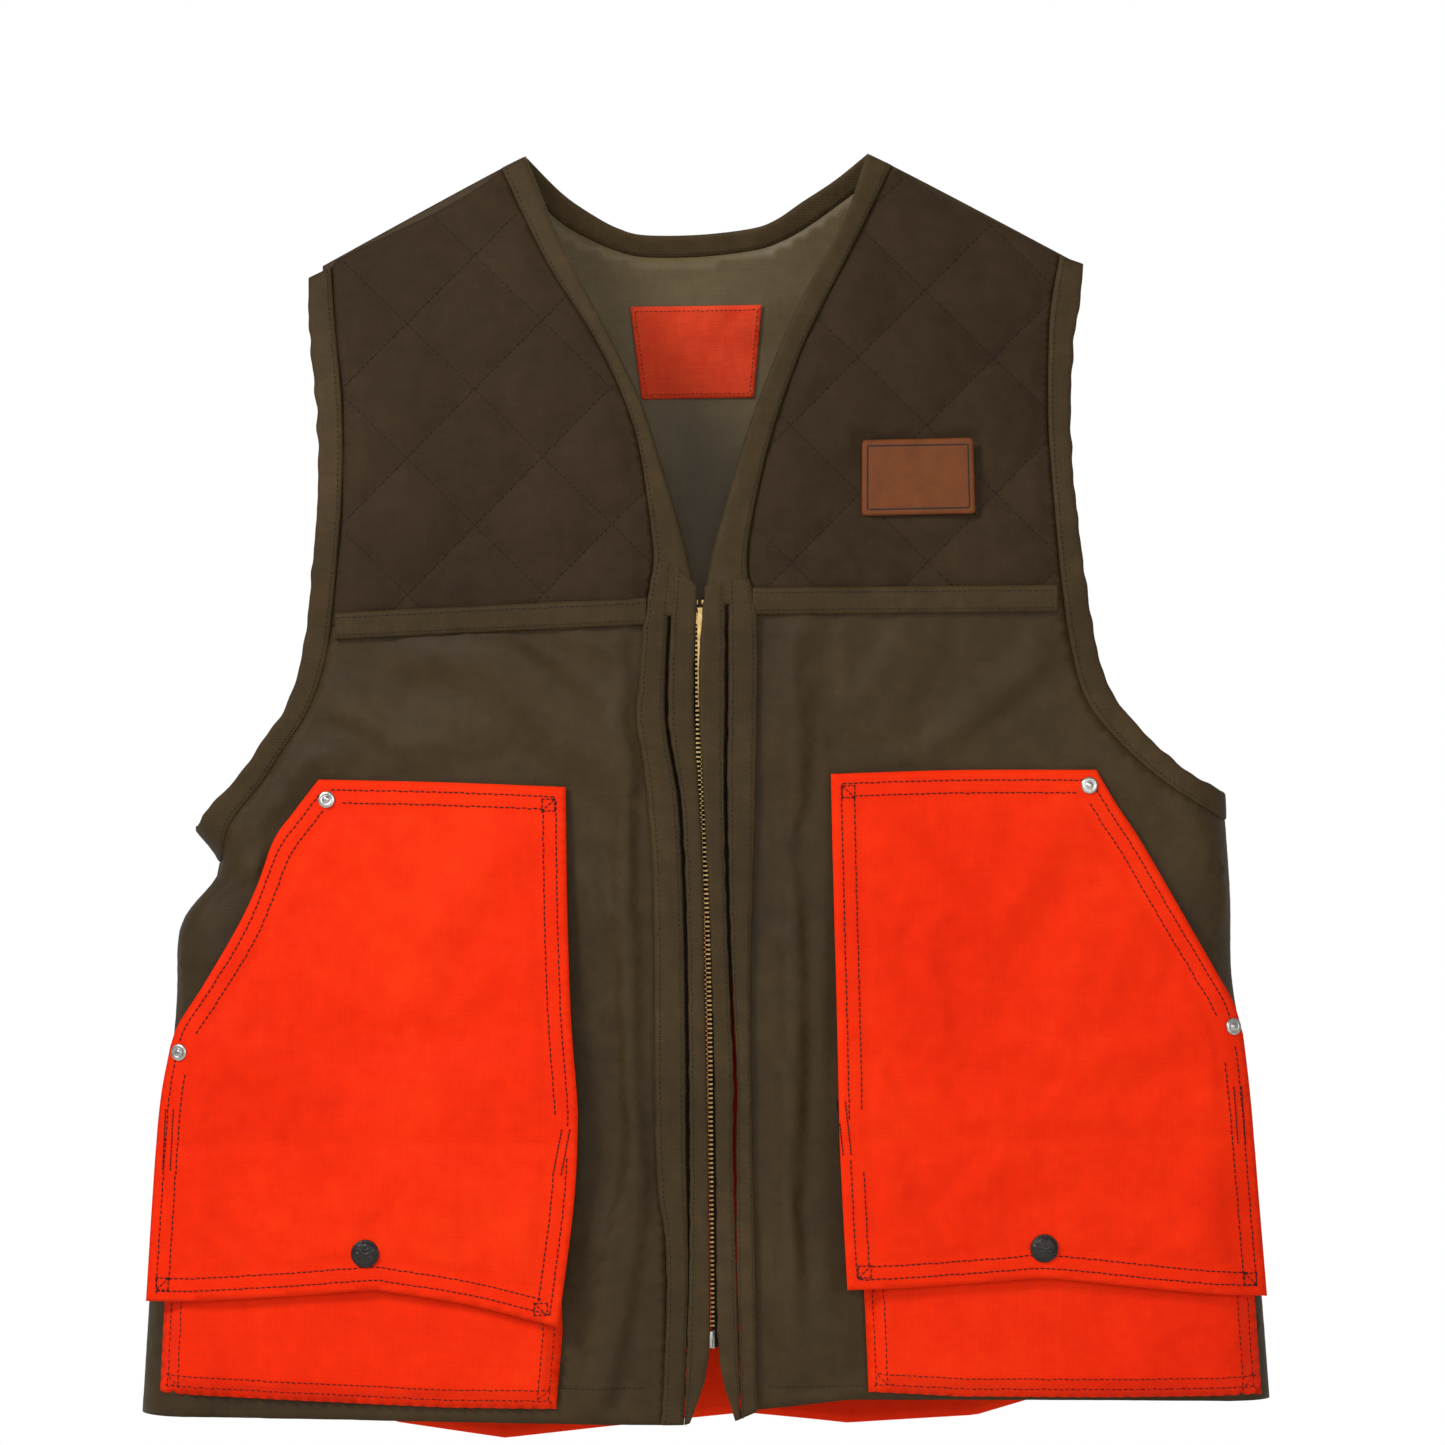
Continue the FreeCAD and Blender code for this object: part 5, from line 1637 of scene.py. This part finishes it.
def build_pouch(side):
    """The pouch behind the flap: an open mouth at the top, gusseted down to the front below."""
    points = straight(POUCH_EDGE[side], 4)
    loop = pouch_loop(side)
    top = -563 * MM

    def place(x, z):
        near = min((p - Vector((x, z))).length for p in points[::2])
        swell = smooth_step(0.0, 0.011, near)
        fold = sum(ridge(x, z, *each) for each in POUCH_FOLDS)
        ripple = 0.8 * MM * noise.noise(Vector((x * 30, z * 30, side * 6.0)))
        hem = 0.5 * MM * (1 - smooth_step(0.012, 0.014, top - z))
        forward = 3.6 * MM + swell * (7.4 * MM + ripple + fold) + hem * swell
        return on_flank(side, x, z, forward)

    obj, _ = sheet_piece("orange_pouch_" + SIDES[side], loop, 3.8 * MM, place, MAT["orange"])
    face = Surface(obj)
    for distance in (4.5, 10.5):
        row = inset(points, distance * MM, loop)
        stitch_row("vest", "thread", row, lambda x, z: face.at(side * x, z), 3.2, 2.4, 0.30)
    for drop in (4, 11):
        ends = [Vector((POUCH_EDGE[side][0][0] + 4, -563 - drop)) * MM,
                Vector((POUCH_EDGE[side][-1][0] - 4, -563 - drop)) * MM]
        stitch_row("vest", "thread", ends, lambda x, z: face.at(side * x, z), 3.2, 2.4, 0.30)
    thicken(obj, 1.0 * MM)
    piece_slot(obj, "vest", "orange_cloth", "pouch_" + SIDES[side])
    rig.sheet(obj, held="hung", **loop.cut())
    return obj


def inset(points, distance, loop):
    """A run of edge points moved sideways into the piece that they bound."""
    ways = [(points[min(len(points) - 1, i + 1)] - points[max(0, i - 1)]).normalized()
            for i in range(len(points))]
    middle = len(points) // 2
    probe = points[middle] + Vector((-ways[middle].y, ways[middle].x)) * 3 * MM
    turn = distance if loop.holds(probe.x, probe.y) else -distance
    return [p + Vector((-w.y, w.x)) * turn for p, w in zip(points, ways)]


FLAP_SIDES = {"pocket_left": 1, "pocket_right": -1}


def bend_with_flap(obj, side):
    """Above the fold a pocket stays on the vest; below it turns with its flap."""
    name = SIDES[side]
    start = (side * 0.19, -0.061, HINGE_Z + 6.5 * MM)
    end = (side * 0.19, -0.061, HINGE_Z - 6.5 * MM)
    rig.blend(obj, "vest", "flap_" + name, start, end)


def pocket_stitches(side, obj, loop, edges):
    """Two rows round every edge and a crossed square at the corners."""
    body = "pocket_" + SIDES[side]
    face = Surface(obj)
    on = lambda x, z: face.at(side * x, z)
    top, slant, outer, low, inner = edges
    upper_inner = [p for p in inner if p.y > HINGE_Z + 2 * MM]
    lower_inner = [p for p in inner if p.y < HINGE_Z - 2 * MM]
    for run in (top, slant, outer, low, lower_inner, upper_inner):
        for distance in (5.5, 12.5):
            row = inset(run, distance * MM, loop)
            trim = 13 * MM
            row = trimmed(row, trim - (13 - distance) * MM)
            stitch_row(body, "thread", row, on, 3.1, 2.5, 0.36, 0.10)
    corners = [low[-1], low[0], top[0]]
    for corner in corners:
        corner_square(body, corner, on)


def trimmed(points, amount):
    """Takes an amount off both ends of a run of points."""
    lengths = [0.0]
    for a, b in zip(points, points[1:]):
        lengths.append(lengths[-1] + (b - a).length)
    total = lengths[-1]
    return [p for p, at in zip(points, lengths) if amount * 0.9 <= at <= total - amount * 0.9]


def corner_square(body, corner, on):
    """A boxed cross of stitches in one corner of a pocket."""
    centre = Vector((0.185, -0.5))
    sx = 1 if centre.x > corner.x else -1
    sz = 1 if centre.y > corner.y else -1
    a = corner + Vector((sx * 6 * MM, sz * 6.5 * MM))
    b = corner + Vector((sx * 13 * MM, sz * 13 * MM))
    square = [Vector((a.x, a.y)), Vector((b.x, a.y)), Vector((b.x, b.y)), Vector((a.x, b.y)),
              Vector((a.x, a.y)), Vector((b.x, b.y))]
    for p, q in zip(square, square[1:]):
        stitch_row(body, "thread", [p, q], on, 2.6, 2.1, 0.34, 0.05)


BAR_TACKS = {
    1: [((75, -521), (78, -550)), ((293, -516), (295, -547))],
    -1: [((75, -535), (80, -560)), ((293, -524), (295, -558))],
}


def bar_tacks(side, obj):
    """Dense zigzag bars that anchor the ends of the fold."""
    face = Surface(obj)
    for start, end in BAR_TACKS[side]:
        a, b = Vector(start) * MM, Vector(end) * MM
        for across in (-2.2, 2.2):
            shift = Vector((across * MM, 0))
            stitch_row("pocket_" + SIDES[side], "thread", [a + shift, b + shift],
                       lambda x, z: face.at(side * x, z), 2.0, 1.9, 0.36, 0.05)


# ---------------------------------------------------------------------------------------------
# Metal: snaps and rivets, turned from profiles
# ---------------------------------------------------------------------------------------------

def turned(name, profile, centre, normal, material, segments=48, dent=0.0):
    """A turned piece: the profile is (radius, height) in millimetres, along the normal."""
    normal = normal.normalized()
    across = normal.cross(Vector((0, 0, 1))).normalized()
    up = across.cross(normal)
    verts, faces = [], []
    for r, h in profile:
        for k in range(segments):
            turn = 2 * math.pi * k / segments
            beat = dent * noise.noise(Vector((math.cos(turn) * r * 0.9, math.sin(turn) * r * 0.9, h)))
            rim = min(1.0, (profile[0][0] - r) / 1.5 + 0.1) if profile[0][0] else 1.0
            verts.append(centre + (across * math.cos(turn) + up * math.sin(turn)) * r * MM
                         + normal * (h + beat * max(0.0, rim)) * MM)
    rings = len(profile)
    for i in range(rings - 1):
        for k in range(segments):
            m = (k + 1) % segments
            faces.append((i * segments + k, i * segments + m,
                          (i + 1) * segments + m, (i + 1) * segments + k))
    faces.append(tuple(reversed(range(segments))))
    faces.append(tuple((rings - 1) * segments + k for k in range(segments)))
    obj = make_object(name, verts, faces, material)
    fix_normals(obj)
    return obj


def flank_normal(side):
    turn = math.radians(5)
    return Vector((side * math.sin(turn), -math.cos(turn), 0))


def build_snaps(side):
    name = SIDES[side]
    out = flank_normal(side)
    across, z = 126 * MM, -603 * MM
    cap = [(7.4, -1.0), (7.6, -0.6), (7.75, 0.0), (7.6, 0.55), (7.1, 0.8), (6.8, 0.78), (6.6, 0.95)]
    cap += [(6.4 * math.cos(a), 1.0 + 1.35 * math.sin(a)) for a in
            [math.pi / 2 * i / 14 for i in range(1, 14)]] + [(0.25, 2.36)]
    cap_piece = turned("snap_top_" + name, cap, flank(side, across, z, 17.2 * MM), out, MAT["snap"],
                       56, 0.32)
    piece_slot(cap_piece, "flap_" + name, "dark_snap", "snap_cap_" + name)
    socket = [(2.6, 0), (6.0, 0), (6.0, -0.6), (5.0, -0.9), (4.0, -1.0), (3.7, -2.0), (3.4, -2.2),
              (2.7, -2.2), (2.5, -1.6), (2.6, 0)]
    ring = turned("snap_ring_" + name, socket, flank(side, across, z, 15.0 * MM), out, MAT["nickel"])
    piece_slot(ring, "flap_" + name, "nickel", "snap_socket_" + name)
    stud = [(6.0, 0.0), (6.0, 0.35), (5.4, 0.6), (2.6, 0.65), (1.9, 0.9), (1.85, 1.5), (2.2, 1.8),
            (2.1, 2.3), (1.6, 2.5), (0.3, 2.5)]
    knob = turned("snap_knob_" + name, stud, flank(side, across, z, 11.9 * MM), out, MAT["nickel"])
    piece_slot(knob, "vest", "nickel", "snap_stud_" + name)
    back = [(6.0, 0.0), (6.0, -0.4), (5.4, -0.8), (0.4, -0.8)]
    plate = turned("snap_back_" + name, back, flank(side, across, z, 9.9 * MM), out, MAT["nickel"])
    piece_slot(plate, "vest", "nickel", "snap_post_" + name)


RIVETS = {1: [(213, -350.5), (291, -483.5)], -1: [(205.5, -355), (287.5, -493)]}


def build_rivets(side, pocket):
    face = Surface(pocket)
    head = [(4.6, -0.9), (4.75, -0.3), (4.6, 0.2), (4.0, 0.55), (3.2, 0.68), (2.6, 0.55), (2.3, 0.42),
            (2.0, 0.62), (1.5, 1.15), (0.9, 1.4), (0.2, 1.45)]
    for i, (x, z) in enumerate(RIVETS[side]):
        spot, normal = face.at(side * x * MM, z * MM)
        for k in (-3, 3):
            normal = (normal + face.at(side * (x + k) * MM, z * MM)[1]
                      + face.at(side * x * MM, (z + k) * MM)[1])
        obj = turned("rivet_%s_%d" % (SIDES[side], i), head, spot + normal.normalized() * 0.7 * MM,
                     normal, MAT["nickel"], 40)
        piece_slot(obj, "vest", "nickel", "pocket_rivets")
        burr = [(3.4, 0.0), (3.5, -0.3), (3.2, -0.7), (1.6, -0.8), (1.4, -1.2), (0.3, -1.3)]
        under = turned("burr_%s_%d" % (SIDES[side], i), burr, spot - normal.normalized() * 1.2 * MM,
                       normal, MAT["nickel"], 32)
        piece_slot(under, "vest", "nickel", "rivet_burrs")


# ---------------------------------------------------------------------------------------------
# Chest patch
# ---------------------------------------------------------------------------------------------

def build_patch(yoke):
    """A blank leather patch with a fine black line burnt in near its edge."""
    base = Surface(yoke)
    corners = [(89.5, -160.5), (150.5, -159.5), (151.5, -201), (89, -202)]
    centre = PATCH_CENTRE
    outline = []
    for i, corner in enumerate(corners):
        c = Vector(corner) * MM
        before = Vector(corners[i - 1]) * MM
        after = Vector(corners[(i + 1) % 4]) * MM
        radius = 2.2 * MM
        p = c + (before - c).normalized() * radius
        q = c + (after - c).normalized() * radius
        outline += [p, c.lerp((p + q) / 2, 0.42), q]
    loop = Loop(curve_free(outline, 1.4 * MM))
    rise = max(-base.at(centre.x + dx * MM, centre.y + dz * MM)[0].y for dx in range(-30, 31, 5)
               for dz in range(-20, 21, 5))
    slope = math.tan(math.radians(5))

    def place(x, z):
        edge = edge_distance(x, z, loop)
        spot, _ = base.at(x, z)
        follow = (-spot.y - rise) * 0.12 - (x - centre.x) * slope * 0.5
        groove = 0.22 * MM * math.exp(-((edge - 3.2 * MM) / (0.5 * MM)) ** 2)
        roll = 0.5 * MM * (1 - smooth_step(0.0, 0.0016, edge)) ** 2
        dish = 0.5 * MM * noise.noise(Vector((x * 30, z * 30, 5)))
        return Vector((x, -(rise + follow + 0.7 * MM + dish - groove - roll), z))

    obj, _ = sheet_piece("leather_patch", loop, 1.3 * MM, place, MAT["leather"])
    face = Surface(obj)
    border = []
    for dx, dz in ((-27.6, 17.2), (27.4, 17.8), (28.0, -16.8), (-27.9, -17.6)):
        border.append(centre + Vector((dx, dz)) * MM)
    verts, faces = [], []
    walk = []
    for a, b in zip(border, border[1:] + border[:1]):
        walk += [(a.lerp(b, i / 36), (b - a).normalized()) for i in range(36)]
    for p, way in walk:
        side_way = Vector((-way.y, way.x)) * 0.42 * MM
        for t, lift in ((-1, 0.03), (0, 0.12), (1, 0.03)):
            spot, normal = face.at(p.x + side_way.x * t, p.y + side_way.y * t)
            verts.append(spot + normal * lift * MM)
    n = len(walk)
    for i in range(n):
        j = (i + 1) % n
        faces += [(i * 3, j * 3, j * 3 + 1, i * 3 + 1), (i * 3 + 1, j * 3 + 1, j * 3 + 2, i * 3 + 2)]
    line = make_object("leather_patch_line", verts, faces, MAT["black_line"])
    orient(line)
    piece_slot(line, "vest", "leather")
    thicken(obj, 1.5 * MM)
    piece_slot(obj, "vest", "leather", "chest_patch")
    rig.sheet(obj, held="laid", rests_on=[yoke.name], with_pieces=[line], **loop.cut())


# ---------------------------------------------------------------------------------------------
# Shoulder tops, hems and the last stitches on the olive cloth
# ---------------------------------------------------------------------------------------------

def build_shoulder(side):
    """The back cloth, rolled forward over the shoulder seam above the yoke."""
    fall = 9 if side < 0 else 5
    top, low = [], []
    for i in range(60):
        x = (103 + 105 * i / 59) * MM
        z = shoulder_line(x)
        top.append(Vector((x, z)))
        low.append(Vector((x, z - fall * MM)))
    rows = []
    for i, (a, b) in enumerate(zip(top, low)):
        row = []
        for t in range(9):
            part = t / 8
            z = a.y + (b.y - a.y) * part
            rolled = skin_depth(a.x, z) + 1.0 * MM + 0.2 * MM * noise.noise(Vector((i * 0.3, part, side)))
            row.append(Vector((side * a.x, -rolled, z + 0.6 * MM * (1 - part))))
        for t in range(8, -1, -1):
            part = t / 8
            z = a.y + (b.y - a.y) * part
            row.append(Vector((side * a.x, -skin_depth(a.x, z) + 0.2 * MM, z)))
        rows.append(row)
    obj = band("shoulder_roll_" + SIDES[side], rows, MAT["olive"])
    piece_slot(obj, "vest", "olive_cloth")


def finish_shells(fronts, back, lining):
    faces = {}
    for side, (shell, loop) in fronts.items():
        faces[side] = Surface(shell)
        hem_row = [Vector((x * MM, HEM + 20 * MM)) for x in range(34, 285, 3)]
        stitch_row("vest", "olive_thread", hem_row, lambda x, z: faces[side].at(side * x, z), 3.2, 2.4,
                   0.30)
        thicken(shell, 0.9 * MM)
        piece_slot(shell, "vest", "olive_cloth", "front_panel_" + SIDES[side])
        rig.sheet(shell, held="hung", **loop.cut())
    loop = back_loop(20 * MM)
    out = Surface(back, front=False)
    for x0 in (-280, 0):
        row = [Vector(((x0 + i * 3) * MM, HEM + 20 * MM)) for i in range(94)]
        stitch_row("vest", "olive_thread", row, lambda x, z: out.at(x, z), 3.2, 2.4, 0.30)
    bag = [(-254, -690), (-256, -600), (-256, -405), (256, -405), (256, -600), (254, -686)]
    stitch_row("vest", "olive_thread", straight(bag, 5), lambda x, z: out.at(x, z), 3.2, 2.4, 0.30)
    thicken(back, 0.9 * MM)
    piece_slot(back, "vest", "olive_cloth", "back_panel", "hem_facing_back")
    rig.sheet(back, held="hung", **loop.cut())
    thicken(lining, 0.4 * MM)
    piece_slot(lining, "vest", "lining_cloth", "back_lining")
    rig.sheet(lining, held="hung", **loop.cut())


def dress_cad(node, material):
    mesh = frame["nodes"][node].data
    mesh.materials.clear()
    mesh.materials.append(MAT[material])


# ---------------------------------------------------------------------------------------------
# Stage
# ---------------------------------------------------------------------------------------------

FLOOR_Z = -1.0
FLOOR_RADIUS = 1.9
WORLD_LIGHT = 0.40
# name, place, what it is turned to, width and power
LIGHTS = [("key", (-1.9, -2.0, 1.5), (0, 0, -0.35), 0.9, 66),
          ("fill", (1.6, -2.6, 0.0), (0, 0, -0.35), 1.2, 12),
          ("front", (0.0, -3.4, 0.5), (0, 0, -0.1), 0.9, 19),
          ("rim", (0.4, 1.8, 1.7), (0, 0, -0.2), 1.2, 22)]


def build_stage():
    scene = bpy.context.scene
    verts = [Vector((0, 0, FLOOR_Z))]
    faces = []
    rings, segments = 8, 64
    for r in range(1, rings + 1):
        radius = FLOOR_RADIUS * r / rings
        for k in range(segments):
            turn = 2 * math.pi * k / segments
            verts.append(Vector((radius * math.cos(turn), radius * math.sin(turn), FLOOR_Z)))
    for k in range(segments):
        faces.append((0, 1 + k, 1 + (k + 1) % segments))
    for r in range(rings - 1):
        for k in range(segments):
            a = 1 + r * segments + k
            b = 1 + r * segments + (k + 1) % segments
            faces.append((a, a + segments, b + segments, b))
    s = Shader("pale_floor")
    floor = make_object("floor", verts, faces, s.finish(
        s.ramp(s.noise(3.0), (0.3, (0.80, 0.80, 0.79, 1)), (0.7, (0.86, 0.86, 0.85, 1))), 0.9, None))
    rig.stage(floor)
    world = bpy.data.worlds.new("studio")
    scene.world = world
    world.use_nodes = True
    tree = world.node_tree
    light = tree.nodes["Background"]
    light.inputs["Color"].default_value = (1.0, 0.99, 0.975, 1)
    light.inputs["Strength"].default_value = WORLD_LIGHT
    seen = tree.nodes.new("ShaderNodeBackground")
    seen.inputs["Color"].default_value = (1, 1, 1, 1)
    paths = tree.nodes.new("ShaderNodeLightPath")
    mix = tree.nodes.new("ShaderNodeMixShader")
    tree.links.new(paths.outputs["Is Camera Ray"], mix.inputs[0])
    tree.links.new(light.outputs[0], mix.inputs[1])
    tree.links.new(seen.outputs[0], mix.inputs[2])
    tree.links.new(mix.outputs[0], tree.nodes["World Output"].inputs["Surface"])
    for light_row in LIGHTS:
        soft_light(*light_row)
    scene.view_settings.view_transform = "Standard"
    scene.view_settings.look = "None"
    scene.view_settings.exposure = 0.0


def soft_light(name, place, target, width, power):
    data = bpy.data.lights.new(name, "AREA")
    data.shape = "SQUARE"
    data.size = width
    data.energy = power
    obj = bpy.data.objects.new(name, data)
    obj.location = place
    obj.rotation_euler = (Vector(target) - Vector(place)).to_track_quat("-Z", "Y").to_euler()
    bpy.context.collection.objects.link(obj)


def build_camera():
    data = bpy.data.cameras.new("camera")
    data.sensor_width = 36
    data.lens = 135.9
    obj = bpy.data.objects.new("camera", data)
    obj.location = (0.012, -3.03, -0.3144)
    obj.rotation_euler = (math.radians(90), math.radians(0.45), 0)
    bpy.context.collection.objects.link(obj)
    bpy.context.scene.camera = obj


# ---------------------------------------------------------------------------------------------
# The vest
# ---------------------------------------------------------------------------------------------

def build_vest():
    fronts, pockets, yokes = {}, {}, {}
    for side in (1, -1):
        fronts[side] = build_front_shell(side)
        pockets[side] = build_pocket(side)
    back, lining = build_back()
    run_cloth()
    finish_shells(fronts, back, lining)
    build_label(lining)
    build_game_bag()
    build_back_neck()
    for side in (1, -1):
        build_front_lining(side)
        yokes[side] = build_yoke(side)
        build_shoulder(side)
        build_vee(side)
        build_armhole(side)
        build_yoke_tape(side)
        build_strips(side)
        build_zip_tape(side)
        build_teeth(side)
        build_pouch(side)
        obj, loop, edges = pockets[side]
        pocket_stitches(side, obj, loop, edges)
        bar_tacks(side, obj)
        build_rivets(side, obj)
        build_snaps(side)
        thicken(obj, 1.1 * MM)
        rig.slot(obj, "orange_cloth")
        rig.replaces(obj, "pocket_panel_" + SIDES[side], "flap_" + SIDES[side])
        bend_with_flap(obj, side)
        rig.sheet(obj, held="hung", **loop.cut())
    build_zip_ends()
    build_patch(yokes[1])
    dress_cad("zipper_slider", "brass")
    dress_cad("zipper_pull", "brass")
    make_stitches({"thread": "orange_cloth", "olive_thread": "binding_cloth",
                   "brown_thread": "quilted_cloth"})


build_vest()
build_camera()
build_stage()
sizes = {"cad": [list(c) for c in CAD_BOX], "visual": [list(c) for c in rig.bounds()]}
json.dump(sizes, open("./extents.json", "w"))
